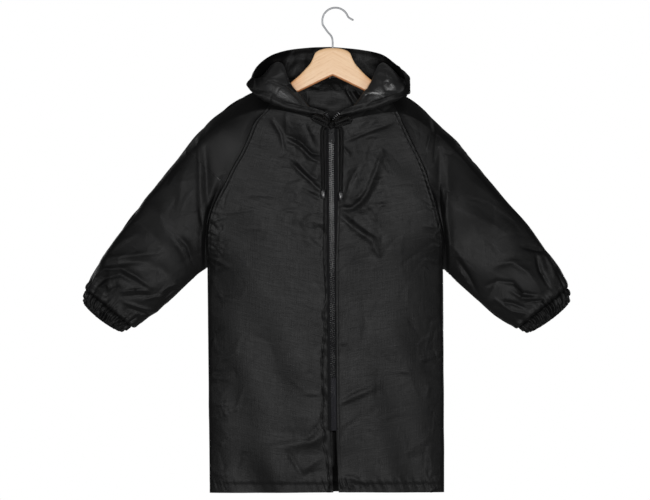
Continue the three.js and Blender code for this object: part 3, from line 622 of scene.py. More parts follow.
def cloth(name, grid, material, wrap=False, outward=1, relief=None, inside=None, facing=None):
    """A panel with the cloth's thickness, its outer side moved out by the relief."""
    normals = grid_normals(grid, wrap, outward)
    outer = grid.copy()
    if relief is not None:
        outer = outer + normals * relief(grid, normals)[..., None]
        normals = grid_normals(outer, wrap, outward)
    SURFACES[name] = outer, normals
    uv = grid_uv(outer).reshape(-1, 2)
    inner = outer - normals * CLOTH_THICKNESS
    rows, columns = grid.shape[:2]
    count = rows * columns
    points = np.concatenate([outer.reshape(-1, 3), inner.reshape(-1, 3)])
    flipped = outward > 0
    faces = grid_faces(rows, columns, wrap, 0, flipped)
    faces += grid_faces(rows, columns, wrap, count, not flipped)
    faces += rim_faces(rows, columns, wrap, count, flipped)
    piece = new_object(name, points, faces, material, np.concatenate([uv, uv]))
    if inside is not None:
        piece.data.materials.append(inside)
        panel = (rows - 1) * (columns if wrap else columns - 1)
        index = np.zeros(len(piece.data.polygons), dtype=np.int32)
        index[panel:2 * panel] = 1
        # Where facing holds, the inside takes the first material: for the hood this is its casing, and on
        # its back painted shade.
        if facing is not None:
            index[panel:2 * panel][facing(outer)[:-1, :-1].ravel()] = 0
        piece.data.polygons.foreach_set("material_index", index)
    return piece


# Body
def armhole_point(side, face, row):
    """Raglan seam as x, z and depth, on the front or the back."""
    seam = catmull(ARMHOLE[side], row)
    if face == "front":
        return seam
    share = np.clip(row / BACK_MEETS_FRONT_ROW, 0, 1)[..., None]
    start, join = np.array(BACK_NECK[side], float), np.array(ARMHOLE[side][BACK_MEETS_FRONT_ROW], float)
    return np.where(row[..., None] >= BACK_MEETS_FRONT_ROW, seam, start + (join - start) * share)


def side_point(side, face, row):
    """Outer edge of a panel: the raglan seam, then the side seam."""
    low = catmull(SIDE_SEAM[side], np.maximum(row - ARMHOLE_ROWS, 0))
    low = np.concatenate([low, np.zeros_like(low[..., :1])], axis=-1)
    high = armhole_point(side, face, np.minimum(row, ARMHOLE_ROWS))
    return np.where(row[..., None] <= ARMHOLE_ROWS, high, low)


def zip_edge(side, row):
    """How far a front ends from the middle line of the zip."""
    return -ZIP_LEFT_EDGE if side == "left" else np.interp(row, *ZIP_RIGHT_EDGE)


def middle_point(side, face, row):
    """Inner edge of a panel as x, z and depth."""
    front_z, zip_x, front_depth, back_z, back_x, back_depth = np.moveaxis(catmull(MIDDLE, row), -1, 0)
    if face == "back":
        return back_x, back_z, back_depth
    return zip_x + zip_edge(side, row) * np.where(row > ZIP_END_ROW, SLIT_SHARE, 1), front_z, front_depth


def body_point(side, face, row, across):
    """Points of a half front or back, for rows down and shares across that broadcast."""
    row, across = np.broadcast_arrays(np.asarray(row, float), np.asarray(across, float))
    side_x, side_z, side_depth = np.moveaxis(side_point(side, face, row), -1, 0)
    x, z, depth = middle_point(side, face, row)
    squared = side_depth ** 2 + (depth ** 2 - side_depth ** 2) * (1 - across ** 2)
    rise = 1 - (1 - across) ** NECK_CURVE
    place = x + (side_x - x) * across
    level = z + (side_z - z) * rise
    skirt = np.maximum(0, (row - ARMHOLE_ROWS) / SKIRT_ROWS)
    phase = (place + level * SKIRT_WAVE_LEAN) / SKIRT_WAVE_LENGTH * 2 * np.pi
    wave = SKIRT_WAVE * skirt * np.sin(phase) * 4 * across * (1 - across)
    out = np.sqrt(np.maximum(0, squared)) + wave
    return np.stack([place, -out if face == "front" else out, level], axis=-1)


# Sleeves
def ring_zero(side, around):
    """The sleeve's first ring, on the raglan seams and over the shoulder."""
    front = around <= AROUND / 2
    step = np.where(front, around, AROUND - around)
    row = np.maximum(step - NECK_STEPS, 0)
    seam = np.where(front[..., None], armhole_point(side, "front", row), armhole_point(side, "back", row))
    share = np.clip(step / NECK_STEPS, 0, 1)
    top_x, top_z = SHOULDER_NECK[side]
    sign = np.where(front, -1, 1)
    return np.stack([
        top_x + (seam[..., 0] - top_x) * share,
        sign * seam[..., 2] * share,
        top_z + (seam[..., 1] - top_z) * share,
    ], axis=-1)


def sleeve_ring(side, ring, around):
    """An oval ring of the sleeve, before it meets the seam."""
    low_x, low_z, top_x, top_z, depth = np.moveaxis(catmull(SLEEVE_RINGS[side], ring), -1, 0)
    angle = around / AROUND * 2 * np.pi
    c = np.cos(angle)
    return np.stack([
        (top_x + low_x) / 2 + (top_x - low_x) / 2 * c,
        -depth * np.sin(angle),
        (top_z + low_z) / 2 + (top_z - low_z) / 2 * c,
    ], axis=-1)


def sleeve_point(side, ring, around):
    """Points of the sleeve, with rings that turn into the armhole."""
    ring, around = np.broadcast_arrays(np.asarray(ring, float), np.asarray(around, float))
    fade = np.maximum(0, 1 - ring / ARMHOLE_FADE)[..., None]
    shift = ring_zero(side, around) - sleeve_ring(side, np.zeros_like(ring), around)
    point = sleeve_ring(side, ring, around) + shift * fade
    angle = around / AROUND * 2 * np.pi
    dip = column_at(ARMHOLE_DIP, ring) * np.sin(angle) * np.maximum(0, -np.cos(angle)) * 2
    point[..., 1] += dip
    return point


def yoke_ring(side, around):
    """Ring at which the seam across the sleeve head passes, by bisection."""
    x, z, row = YOKE_SEAM[side]
    step = np.minimum(around, AROUND - around)
    end_x, end_z = ARMHOLE[side][row][:2]
    sign = 1 if side == "left" else -1
    near, far = np.zeros_like(step), np.full_like(step, 5.0)
    for _ in range(30):
        ring = (near + far) / 2
        point = sleeve_point(side, ring, step)
        beyond = ((point[..., 0] - x) * (end_z - z) - (point[..., 2] - z) * (end_x - x)) * sign
        near = np.where(beyond < 0, ring, near)
        far = np.where(beyond < 0, far, ring)
    return np.where(step >= row + NECK_STEPS, 0, (near + far) / 2)


# Hood
def neck_point(side, at):
    """Neck seam from the zip round to the middle of the back, at 0 to 1."""
    first_row = np.zeros_like(at)
    before = np.clip(at / NECK_FRONT, 0, 1)
    behind = np.clip((at - NECK_BACK) / NECK_FRONT, 0, 1)
    front = body_point(side, "front", first_row, np.sin(np.pi / 2 * before))
    back = body_point(side, "back", first_row, np.cos(np.pi / 2 * behind))
    over = ring_zero(side, np.where(
        at <= 0.5,
        NECK_STEPS * (1 - np.clip((at - NECK_FRONT) / NECK_OVER, 0, 1)),
        AROUND - NECK_STEPS * np.clip((at - 0.5) / NECK_OVER, 0, 1),
    ))
    at = at[..., None]
    return np.where(at <= NECK_FRONT, front, np.where(at >= NECK_BACK, back, over))


def hood_grid(side, columns, steps):
    """Lines of points from the neck to the hood's rim."""
    sections = np.array(HOOD_SECTIONS, float)
    if side == "right":
        mirrored = sections.copy()
        mirrored[..., 0] = HOOD_AXIS - (sections[..., 0] - HOOD_AXIS) * RIGHT_SCALE
        mirrored[0] = HOOD_RIGHT_FRONT
        mirrored[-1] = sections[-1]
        sections = mirrored
    at = np.linspace(0, 1, columns)
    place = np.interp(at, HOOD_AT, np.arange(len(HOOD_AT)))
    body = catmull(sections.reshape(len(sections), -1), place).reshape(columns, -1, 3)
    rim = catmull(HOOD_RIM, place)
    rim = rim[:, :3] if side == "left" else rim[:, 3:]
    lines = np.concatenate([neck_point(side, at)[:, None], body, rim[:, None]], axis=1)
    down = np.linspace(0, lines.shape[1] - 1, steps)
    return np.stack([catmull(line, down) for line in lines])


# Relief: creases drawn over the photo, as strokes of pixels with a width and a height
def ridge(share):
    """Cross-section of a crease: a sharp crest with slack sides, as crisp taffeta folds."""
    return np.exp(1 - np.sqrt(1 + (2.1 * share) ** 2))


class Crease:
    def __init__(self, points, width, height, other=None):
        self.line = np.array([photo_point(*point) for point in points])
        self.width = width
        self.other = width if other is None else other
        self.height = height

    def lift(self, x, z):
        best = np.full(x.shape, 1e9)
        value = np.zeros(x.shape)
        pieces = len(self.line) - 1
        for k in range(pieces):
            a, b = self.line[k], self.line[k + 1]
            run = b - a
            length = np.hypot(*run)
            along = ((x - a[0]) * run[0] + (z - a[1]) * run[1]) / length ** 2
            held = np.clip(along, 0, 1)
            dx, dz = x - a[0] - run[0] * held, z - a[1] - run[1] * held
            distance = np.hypot(dx, dz)
            side = np.sign(dx * run[1] - dz * run[0])
            reach = (k + held) / pieces
            taper = np.sin(np.pi * np.clip(0.08 + 0.84 * reach, 0, 1)) ** 0.7
            wide = np.where(side > 0, self.width, self.other)
            lift = self.height * taper * ridge(distance / wide)
            closer = distance < best
            best = np.where(closer, distance, best)
            value = np.where(closer, lift, value)
        return value


def lift_of(creases, x, z):
    """Height of several creases together."""
    total = np.zeros(x.shape)
    for crease in creases:
        total += crease.lift(x, z)
    return total


def crumple(x, z, seed, count, box, length, width, height, lean=0.0):
    """Seeded short creases strewn over a box, as limp taffeta takes when it is handled."""
    rng = np.random.RandomState(seed)
    total = np.zeros(x.shape)
    for _ in range(count):
        cx, cz = rng.uniform(box[0], box[1]), rng.uniform(box[2], box[3])
        turn = rng.normal(lean, 0.9)
        half = rng.uniform(*length) / 2
        wide = rng.uniform(*width)
        tall = rng.uniform(*height) * rng.choice([-1, 1])
        c, s = np.cos(turn), np.sin(turn)
        u = (x - cx) * c + (z - cz) * s
        v = -(x - cx) * s + (z - cz) * c + 0.15 * u * u / half
        near = (np.abs(u) < half * 1.6) & (np.abs(v) < wide * 4)
        total[near] += tall * ridge(v[near] / wide) * np.exp(-((u[near] / half) ** 4))
    return total


def swell(x, z, seed, count, wave, height):
    """Broad soft unevenness: a seeded sum of waves both ways."""
    rng = np.random.RandomState(seed)
    total = np.zeros(x.shape)
    for _ in range(count):
        turn = rng.uniform(0, np.pi)
        length = rng.uniform(*wave)
        total += np.sin((x * np.cos(turn) + z * np.sin(turn)) / length * 2 * np.pi + rng.uniform(0, 6.3))
    return total * height / math.sqrt(count)


# Creases of the fronts, read from the photo: pixels, then width and height in mm
FRONT_CREASES = [
    Crease([(272, 119), (281, 134), (284, 150)], 5, -1.6, 3),
    Crease([(286, 114), (287, 137)], 4, -1.0),
    Crease([(287, 136), (300, 142), (312, 154), (321, 155)], 2.6, 1.8, 5),
    Crease([(286, 139), (300, 147), (312, 159), (322, 163)], 4, -1.6),
    Crease([(301, 116), (310, 135), (314, 146)], 4, 1.0),
    Crease([(290, 161), (303, 174), (320, 190)], 5, -2.0, 3.4),
    Crease([(296, 160), (309, 174), (322, 184)], 4, 1.0),
    Crease([(304, 190), (320, 199)], 3, -1.1),
    Crease([(296, 219), (326, 224)], 9, -1.0),
    Crease([(346, 141), (366, 133), (392, 123)], 3, -1.5, 4),
    Crease([(344, 148), (350, 157)], 3, -1.3),
    Crease([(341, 208), (352, 208), (360, 202), (368, 190), (376, 170), (381, 155)], 7, -2.4, 4),
    Crease([(345, 200), (350, 182), (358, 168)], 4, 1.3),
    Crease([(353, 213), (366, 205), (376, 190), (384, 172)], 8, 1.2),
    Crease([(339, 215), (352, 226), (372, 241), (378, 254)], 6, -1.8, 9),
    Crease([(344, 212), (358, 224), (378, 238)], 5, 0.9),
    Crease([(352, 262), (372, 256)], 6, 0.6),
    Crease([(207, 216), (214, 220)], 2, -1.1),
    Crease([(207, 222), (215, 228)], 2, 1.1),
    Crease([(207, 230), (216, 234)], 2.4, -1.2),
    Crease([(208, 247), (215, 250)], 2.4, -1.0),
    Crease([(208, 257), (226, 265)], 5, -1.4),
    Crease([(212, 280), (222, 297), (238, 300)], 6, -1.2, 3),
    Crease([(250, 195), (284, 197)], 3, 0.5),
    Crease([(222, 214), (256, 209)], 3, -0.5),
    Crease([(424, 226), (442, 228)], 3, -0.8),
    Crease([(211, 338), (219, 331)], 2.2, 1.1),
    Crease([(211, 345), (216, 336)], 2.2, -1.1),
    Crease([(212, 372), (220, 360), (237, 352)], 6, -1.5, 3.4),
    Crease([(212, 378), (230, 379)], 5, -1.3),
    Crease([(213, 373), (222, 374)], 2.2, 1.1),
    Crease([(213, 404), (231, 405)], 4.4, -1.2),
    Crease([(212, 420), (236, 408)], 3, -1.2, 2),
    Crease([(244, 389), (240, 398), (236, 410)], 3, -0.7),
    Crease([(214, 473), (227, 475)], 3.4, -1.2),
    Crease([(240, 457), (250, 453)], 2.4, 0.7),
    Crease([(304, 394), (320, 393.6)], 1.6, -1.0),
    Crease([(306, 377), (310, 372), (314, 376)], 2, 0.7),
    Crease([(275, 377), (280, 372)], 2, 0.6),
    Crease([(306, 439), (313, 433), (321, 423)], 2.2, 1.4, 4),
    Crease([(309, 444), (322, 434)], 5, -1.2),
    Crease([(272, 447), (296, 444), (322, 440)], 14, -1.9, 9),
    Crease([(287, 452), (295, 464), (303, 478)], 2.4, 1.5, 4),
    Crease([(303, 478), (312, 473), (323, 472)], 2.2, 1.6, 3),
    Crease([(302, 470), (312, 464), (321, 459)], 6, -1.6),
    Crease([(236, 470), (242, 452)], 7, 0.8),
    Crease([(340, 404), (352, 398), (377, 387)], 4, -1.7, 9),
    Crease([(341, 399), (354, 391), (370, 384)], 5, 0.8),
    Crease([(343, 429), (352, 424), (361, 415)], 2, 1.0),
    Crease([(339, 344), (347, 342)], 2.6, -0.9),
    Crease([(421, 360), (432, 358), (443, 353)], 1.8, -1.3, 3),
    Crease([(400, 371), (411, 371)], 1.8, -0.8),
    Crease([(424, 372), (432, 368)], 2, 0.6),
    Crease([(341, 477), (352, 478), (368, 484)], 4.4, -1.5),
    Crease([(339, 485), (356, 489)], 4, -1.0),
    Crease([(374, 468), (380, 463), (384, 470)], 2, 0.6),
    Crease([(409, 320), (418, 332)], 4, 0.6),
    Crease([(372, 318), (378, 302)], 4, 0.5),
    Crease([(362, 345), (366, 322), (362, 300)], 6, 0.6),
]

# The stitched line beside the zip, puckered from the chest down
PLACKET = [
    (324, 135), (323.6, 260), (326, 298), (322, 312), (324.5, 330), (321.5, 350), (321, 366),
    (322, 385), (322.6, 400), (320.5, 420), (323.5, 432), (322, 444), (326, 456), (327, 470),
    (328, 483),
]


def placket_x(z):
    """x of the stitched line beside the zip."""
    points = np.array([photo_point(*point) for point in PLACKET])
    return np.interp(-z, -points[:, 1], points[:, 0])


def hem_relief(x, z):
    """A folded hem: a double layer below its stitching, which puckers the cloth."""
    below = ease((HEM_Z - z) / 0.5)
    groove = -1.1 * np.exp(-(((z - HEM_Z) / 1.2) ** 2))
    near = np.exp(-(((z - HEM_Z + 3) / 9) ** 2))
    phase = x / 15 * 2 * np.pi + 1.6 * np.sin(x / 37) + (z - HEM_Z) / 7
    pucker = 0.55 * np.sin(phase) + 0.35 * np.sin(2.3 * phase + 1.1)
    return 0.9 * below + groove + 1.4 * pucker * near * (0.6 + 0.4 * np.sin(x / 61 + 0.7))


def seam_relief(grid):
    """Raglan seam: the allowance's ridge, then a puckered line of topstitching."""
    edge = from_rim(grid)
    above = np.clip((grid[..., 2] + 454) / 12, 0, 1)
    along = grid[..., 0] * 0.4 + grid[..., 2]
    pucker = 0.25 * np.sin(along / 9 * 2 * np.pi + 1.3 * np.sin(along / 31))
    pucker *= np.exp(-(((edge - 5) / 6) ** 2))
    ridge_line = 0.3 * np.exp(-(((edge - 3) / 2.4) ** 2)) - 0.3 * np.exp(-(((edge - 7) / 1.0) ** 2))
    return (ridge_line + pucker) * above


def faces_out(normals):
    """1 where the cloth faces front or back, and 0 where it turns to the side."""
    return np.clip(np.abs(normals[..., 1]) * 1.6 - 0.2, 0, 1)


def from_neck(grid):
    """Length down the cloth from a panel's first row."""
    steps = np.linalg.norm(np.diff(grid, axis=0), axis=-1)
    return np.concatenate([np.zeros((1, grid.shape[1])), np.cumsum(steps, axis=0)], axis=0)


def chest_swell(grid):
    """The chest rolls out from under the neck seam, but not at the zip."""
    down = from_neck(grid)
    aside = np.abs(grid[..., 0] - grid[:, :1, 0])
    roll = (1 - np.exp(-((down / CHEST_RISE) ** 2))) * np.exp(-((down / CHEST_FALL) ** 2))
    return CHEST_SWELL * roll * (1 - np.exp(-((aside / CHEST_FROM_ZIP) ** 2)))


def front_relief(side):
    def relief(grid, normals):
        x, z = grid[..., 0], grid[..., 2]
        total = 1.3 * lift_of(FRONT_CREASES, x, z)
        box = (-225, 190, -850, -190)
        total += crumple(x, z, 11, 300, box, (14, 60), (1.6, 4.5), (0.1, 0.42), 0.5)
        total += crumple(x, z, 13, 240, (-90, 90, -430, -190), (10, 46), (2, 5), (0.15, 0.6), 0.6)
        total += crumple(x, z, 17, 110, (-225, -195, -850, -330), (8, 30), (1.4, 3), (0.2, 0.8), 0.2)
        total += crumple(x, z, 19, 110, (160, 192, -850, -330), (8, 30), (1.4, 3), (0.2, 0.8), -0.2)
        total += swell(x, z, 5, 9, (70, 190), 0.9)
        total += seam_relief(grid)
        if side == "left":
            line = placket_x(z)
            total += 0.6 * ease((x - line) / 0.8)
            total -= 1.5 * np.exp(-(((x - line - 1.2) / 1.2) ** 2))
            low = np.clip((-480 - z) / 60, 0, 1)
            ripple = np.sin(z / 11 * 2 * np.pi / 2 + 1.4 * np.sin(z / 23)) + 0.5 * np.sin(z / 6.5)
            total += (0.2 + low) * 0.9 * ripple * np.exp(-(((x - line - 3) / 4) ** 2))
        else:
            rows = np.linspace(0, BODY_ROWS, 200)
            levels, zip_x = catmull(MIDDLE, rows)[:, :2].T
            edge = np.interp(-z, -levels, zip_x + zip_edge("right", rows)) + 2.4
            total -= 0.55 * np.exp(-(((x - edge) / 1.1) ** 2))
            total += 0.35 * ease((edge - x) / 0.8)
        total += hem_relief(x, z)
        total += chest_swell(grid)
        total -= ZIP_ROLL * np.exp(-np.abs(x - x[:, :1]) / ZIP_ROLL_WIDTH)
        return total * faces_out(normals)
    return relief


INNER_NECK_CREASES = [
    Crease([(345, 87), (350, 95), (355, 104)], 2.0, -2.4, 3),
    Crease([(352, 86), (359, 93), (366, 99)], 2.0, -2.4, 3),
    Crease([(349, 86), (354, 94), (360, 102)], 2.2, 1.8),
    Crease([(306, 90), (308, 97), (306, 105)], 2.6, -1.6),
    Crease([(316, 92), (332, 90), (346, 94)], 5, 1.2),
    Crease([(298, 99), (314, 106), (334, 109)], 4, -1.4),
]


# A deep soft fold down the back, behind the slit below the zip
SLIT_FOLD = [Crease([(330.6, 400), (331.6, 450), (333, 500), (334, 530)], 9, 7)]


def back_relief(grid, normals):
    x, z = grid[..., 0], grid[..., 2]
    total = crumple(x, z, 23, 260, (-225, 190, -850, -150), (18, 80), (2, 6), (0.1, 0.5), 1.1)
    total += swell(x, z, 8, 9, (80, 200), 1.2)
    total += hem_relief(x + 9, z)
    total += lift_of(INNER_NECK_CREASES, x, z) + lift_of(SLIT_FOLD, x, z)
    return total * faces_out(normals)


def inset(grid, edges):
    """Moves free edges of a grid back from their seams by half the gap."""
    grid = grid.copy()
    for axis, end in edges:
        line = np.moveaxis(grid, axis, 0)
        first, second = (0, 1) if end == 0 else (-1, -2)
        line[first] += unit(line[second] - line[first]) * SEAM_HALF_GAP
    return grid


def add_fronts(material):
    rows = np.linspace(0, BODY_ROWS, 230)[:, None]
    beside_zip = 0.12
    across = np.concatenate([
        np.linspace(0, beside_zip, 22, endpoint=False),
        np.sin(np.linspace(np.arcsin(beside_zip), np.pi / 2, 84)),
    ])[None]
    for side in ("left", "right"):
        grid = body_point(side, "front", rows, across)
        outward = -1 if side == "left" else 1
        grid = inset(grid, [(1, 0), (1, 1), (0, 0)])
        cloth(f"cloth_front_{side}", grid, material, outward=outward, relief=front_relief(side))


def add_back(material, inside):
    rows = np.linspace(0, BODY_ROWS, 170)[:, None]
    across = np.sin(np.pi / 2 * np.linspace(1, 0, 62))[None]
    left = body_point("left", "back", rows, across)
    right = body_point("right", "back", rows, across[:, ::-1])
    grid = np.concatenate([left, right[:, 1:]], axis=1)
    grid = inset(grid, [(1, 0), (1, 1), (0, 0)])
    cloth("cloth_back", grid, material, outward=-1, relief=back_relief, inside=inside)


# Creases of the sleeves' front halves
SLEEVE_CREASES = [
    Crease([(198, 138), (199, 180), (200, 215), (207, 243)], 3.0, 2.0, 12),
    Crease([(205, 150), (207, 185), (208, 214)], 8, -2.6),
    Crease([(178, 237), (187, 246), (194, 266)], 4, -2.0, 8),
    Crease([(172, 238), (181, 250), (188, 268)], 6, 1.0),
    Crease([(89, 287), (95, 277), (104, 270), (121, 269)], 2.6, 2.2, 6),
    Crease([(121, 269), (136, 277), (149, 287)], 3.0, 1.8, 8),
    Crease([(92, 291), (104, 278), (120, 274), (134, 282)], 7, -2.2),
    Crease([(104, 260), (128, 256), (158, 253)], 5, 1.4, 9),
    Crease([(108, 266), (130, 262), (150, 262)], 7, -1.2),
    Crease([(138, 270), (158, 268), (170, 278)], 16, -1.8),
    Crease([(121, 292), (135, 290), (149, 291)], 2.2, 1.6),
    Crease([(122, 297), (138, 295), (152, 296)], 3.2, -1.4),
    Crease([(146, 299), (154, 297), (164, 296)], 2.2, 1.6),
    Crease([(161, 293), (166, 288), (175, 285)], 2.2, 1.4),
    Crease([(164, 298), (172, 291), (180, 289)], 2.6, -1.2),
    Crease([(125, 303), (140, 308), (156, 312)], 3.0, 1.5),
    Crease([(128, 308), (142, 313), (152, 316)], 3.0, -1.5),
    Crease([(98, 287), (106, 283), (110, 290)], 4.5, 1.8),
    Crease([(106, 296), (112, 290), (118, 287)], 3.0, -1.6),
    Crease([(150, 205), (160, 215), (166, 232)], 14, 0.9),
    Crease([(135, 222), (150, 232), (160, 245)], 12, -0.9),
    Crease([(112, 250), (124, 240), (136, 234)], 7, 0.8),
    Crease([(176, 168), (170, 176), (166, 184)], 5, -0.9),
    Crease([(184, 166), (180, 185), (178, 205)], 9, 0.8),
    Crease([(447, 165), (447, 195), (445, 226)], 3.0, 1.7, 12),
    Crease([(440, 150), (439, 190), (440, 235)], 7, -2.6),
    Crease([(429, 120), (430, 134), (427, 148)], 2.4, 1.7, 5),
    Crease([(434, 118), (437, 136), (434, 160)], 4.5, -1.8),
    Crease([(442, 133), (452, 141), (462, 146)], 6, 1.6, 9),
    Crease([(523, 247), (536, 250), (550, 252)], 4, -2.2, 7),
    Crease([(537, 254), (540, 270), (549, 287)], 4.5, -2.8),
    Crease([(545, 252), (552, 266), (556, 280)], 6, 1.8),
    Crease([(498, 264), (512, 262), (528, 272), (541, 290)], 8, 1.6),
    Crease([(498, 281), (514, 283), (523, 293), (536, 295)], 3.6, -1.9, 2.4),
    Crease([(510, 290), (522, 298), (540, 299)], 3, 1.5),
    Crease([(505, 302), (514, 304), (524, 308)], 3.6, -1.9),
    Crease([(527, 302), (538, 301), (549, 301)], 2.6, -1.6),
    Crease([(496, 300), (512, 311), (528, 314)], 3.2, 1.4),
    Crease([(458, 260), (468, 275), (477, 292)], 5, -2.0),
    Crease([(461, 272), (466, 279), (471, 287)], 2.4, 1.6),
    Crease([(452, 245), (462, 258), (470, 270)], 7, 0.9),
    Crease([(486, 286), (496, 282), (490, 296)], 4, -0.9),
    Crease([(466, 215), (486, 222), (506, 232)], 13, 0.9),
    Crease([(500, 212), (515, 224), (524, 238)], 9, -0.8),
    Crease([(474, 182), (490, 194), (500, 205)], 12, 0.7),
]


def gather_phase(side, around):
    """Share of the way round the cuff's edge, by length."""
    fine = np.linspace(0, AROUND, 721)
    ring = sleeve_ring(side, np.full_like(fine, CUFF_RING), fine)
    lengths = np.concatenate([[0], np.cumsum(np.linalg.norm(np.diff(ring, axis=0), axis=-1))])
    return np.interp(around, fine, lengths / lengths[-1])


def gather_wave(side, around, drift=0.0):
    """Rounded puffs between pinched valleys, uneven round the cuff."""
    share = gather_phase(side, around)
    seed = 0.6 if side == "left" else 1.9
    uneven = 0.32 * np.sin(2 * np.pi * 3 * share + seed) + 0.22 * np.sin(2 * np.pi * 7 * share + 2 * seed)
    phase = GATHERS * share + uneven + drift
    puff = 2 * np.abs(np.sin(np.pi * phase)) ** 0.8 - 1.1
    return puff * (1 + 0.3 * np.sin(2 * np.pi * 5 * share + seed))


def bunches(side, around, share):
    """Short rounded puckers that a row of elastic stitching bunches up, offset above and below it."""
    turn = gather_phase(side, around) * 2 * np.pi
    below = ease((share - ELASTIC_ROW) / 0.04)
    upper = np.sin(turn * 31 + 1.5 * np.sin(turn * 4 + 0.5))
    lower = np.sin(turn * 37 + 1.2 + 1.8 * np.sin(turn * 5))
    return upper * (1 - below) + lower * below


def sleeve_relief(side, ring, around):
    def relief(grid, normals):
        x, z = grid[..., 0], grid[..., 2]
        front = np.clip(-normals[..., 1] * 2.2, 0, 1)
        total = 1.5 * lift_of(SLEEVE_CREASES, x, z) * front
        box = (-445, -110, -570, -140) if side == "left" else (100, 415, -570, -140)
        lean = 0.8 if side == "left" else -0.8
        shift = np.where(normals[..., 1] < 0, 0, 47)
        near_cuff = np.clip((ring - 5) / 3, 0, 1)
        total += crumple(x + shift, z, 31, 150, box, (16, 70), (2, 6), (0.15, 0.6), lean)
        total += crumple(x + shift, z, 37, 120, box, (14, 46), (1.8, 4), (0.3, 0.9), lean) * near_cuff
        total += swell(x + shift, z, 41, 8, (60, 150), 1.1)
        reach = 0.9 + 0.55 * np.sin(2 * np.pi * 5 * gather_phase(side, around) + 0.4)
        gather = np.clip((ring - CUFF_RING + reach) / reach, 0, 1) ** 1.5
        near_seam = np.clip(ring / 0.5, 0, 1)
        puff = 2.1 * np.exp(-(((ring - CUFF_RING + 0.3) / 0.28) ** 2))
        sunk = 2.2 * np.exp(-(((ring - CUFF_RING) / 0.09) ** 2))
        waves = 1.9 * gather * gather_wave(side, around)
        return total * near_seam * (1 - 0.6 * gather) + waves + puff - sunk
    return relief


def add_sleeves(material):
    for side in ("left", "right"):
        outward = -1 if side == "left" else 1
        reach = YOKE_SEAM[side][2] + NECK_STEPS
        spread = np.linspace(-reach, reach, 101)
        around = np.mod(spread, AROUND)
        seam = yoke_ring(side, around)
        ring = seam[None] * np.linspace(0, 1, 50)[:, None]
        around = np.broadcast_to(around, ring.shape)
        grid = inset(sleeve_point(side, ring, around), [(0, 0), (0, 1)])
        cloth(f"cloth_sleeve_upper_{side}", grid, material, outward=outward,
              relief=sleeve_relief(side, ring, around))
        around = np.linspace(0, AROUND, 168, endpoint=False)
        start = yoke_ring(side, around)
        share = np.linspace(0, 1, 130)[:, None]
        ring = start + (CUFF_RING - start) * share
        around = np.broadcast_to(around, ring.shape)
        grid = inset(sleeve_point(side, ring, around), [(0, 0), (0, 1)])
        cloth(f"cloth_sleeve_lower_{side}", grid, material, wrap=True, outward=outward,
              relief=sleeve_relief(side, ring, around))


# Elastic cuffs
def add_cuffs(material):
    """Tubes of cloth, bunched by a row of elastic."""
    for side, sign in (("left", -1), ("right", 1)):
        outward = -1 if side == "left" else 1
        fine = np.linspace(0, AROUND, 1441)
        around = np.interp(np.linspace(0, 1, 330, endpoint=False), gather_phase(side, fine), fine)
        share = np.concatenate([[-0.3, -0.06], np.linspace(0.01, 1, 16)])[:, None]
        ring = CUFF_RING + (CUFF_END - CUFF_RING) * share
        ring, around = np.broadcast_arrays(ring, around[None])
        point = sleeve_ring(side, ring, around)
        sag = np.maximum(0, ring - CUFF_RING) * 8 * np.abs(np.sin(around / AROUND * 2 * np.pi))
        point = point + np.array([sign * 0.6, 0, -0.8]) * sag[..., None]
        share = np.broadcast_to(share, ring.shape)

        def relief(grid, normals, side=side, around=around, share=share):
            coarse = gather_wave(side, around, 0.3 * np.sin(2 * np.pi * share * 1.1))
            puff = 0.75 * coarse + 0.5 * bunches(side, around, share)
            roll = np.sin(np.pi * np.clip(share, 0, 1))
            roll -= 1.4 * np.exp(-(((share - ELASTIC_ROW) / 0.09) ** 2))
            sunk = np.where(share < 0, 4.6, 1.6 * np.exp(-((share / 0.1) ** 2)))
            return puff * (1.25 + 0.35 * np.sin(np.pi * share)) + roll - sunk
        cloth(f"cloth_cuff_{side}", point, material, wrap=True, outward=outward, relief=relief)


# Hood creases: on the parts before the hanger, and on the back seen from inside
HOOD_FRONT_CREASES = [
    Crease([(262, 76), (273, 81), (287, 86), (293, 92), (303, 104)], 2.4, 3.0, 8),
    Crease([(277, 58), (286, 72), (296, 92)], 3, 2.2, 6),
    Crease([(391, 66), (378, 68), (370, 78)], 3, 1.6),
    Crease([(386, 71), (389, 80), (397, 88)], 4.4, -1.5),
    Crease([(380, 78), (386, 90), (396, 92)], 6, 1.1),
    Crease([(368, 78), (367, 93), (364, 102)], 3, 1.2),
    Crease([(254, 75), (252, 86)], 3, -1.4),
]
HOOD_BACK_CREASES = [
    Crease([(346, 88), (350, 95), (355, 103)], 2.0, 1.8, 3),
    Crease([(354, 86), (359, 92), (364, 97)], 2.0, 1.8, 3),
    Crease([(307, 92), (306, 103)], 3, 0.8),
    Crease([(296, 60), (306, 62), (312, 68)], 3.4, 1.4),
    Crease([(281, 57), (288, 64), (295, 72)], 2.0, 1.3),
    Crease([(352, 60), (360, 63), (366, 70)], 3.0, 1.2),
]
CASING_WIDTH = 18
# From this depth back, the hood's inside gets the darker outer cloth instead of the coating: painted shade.
PAINTED_SHADE_FROM_Y = 14


def from_rim(grid):
    """Length along the cloth from the hood's rim, which is the grid's last column."""
    steps = np.linalg.norm(np.diff(grid, axis=1), axis=-1)[:, ::-1]
    lengths = np.concatenate([np.zeros((len(grid), 1)), np.cumsum(steps, axis=1)], axis=1)
    return lengths[:, ::-1]


def casing_or_painted_shade(grid):
    """The turned-in edge shows the satin outer side of the cloth on the inside, and the hood's back takes
    that darker, duller cloth inside too, as painted shade deep in the hood.
    """
    return (from_rim(grid) < CASING_WIDTH) | (grid[..., 1] > PAINTED_SHADE_FROM_Y)


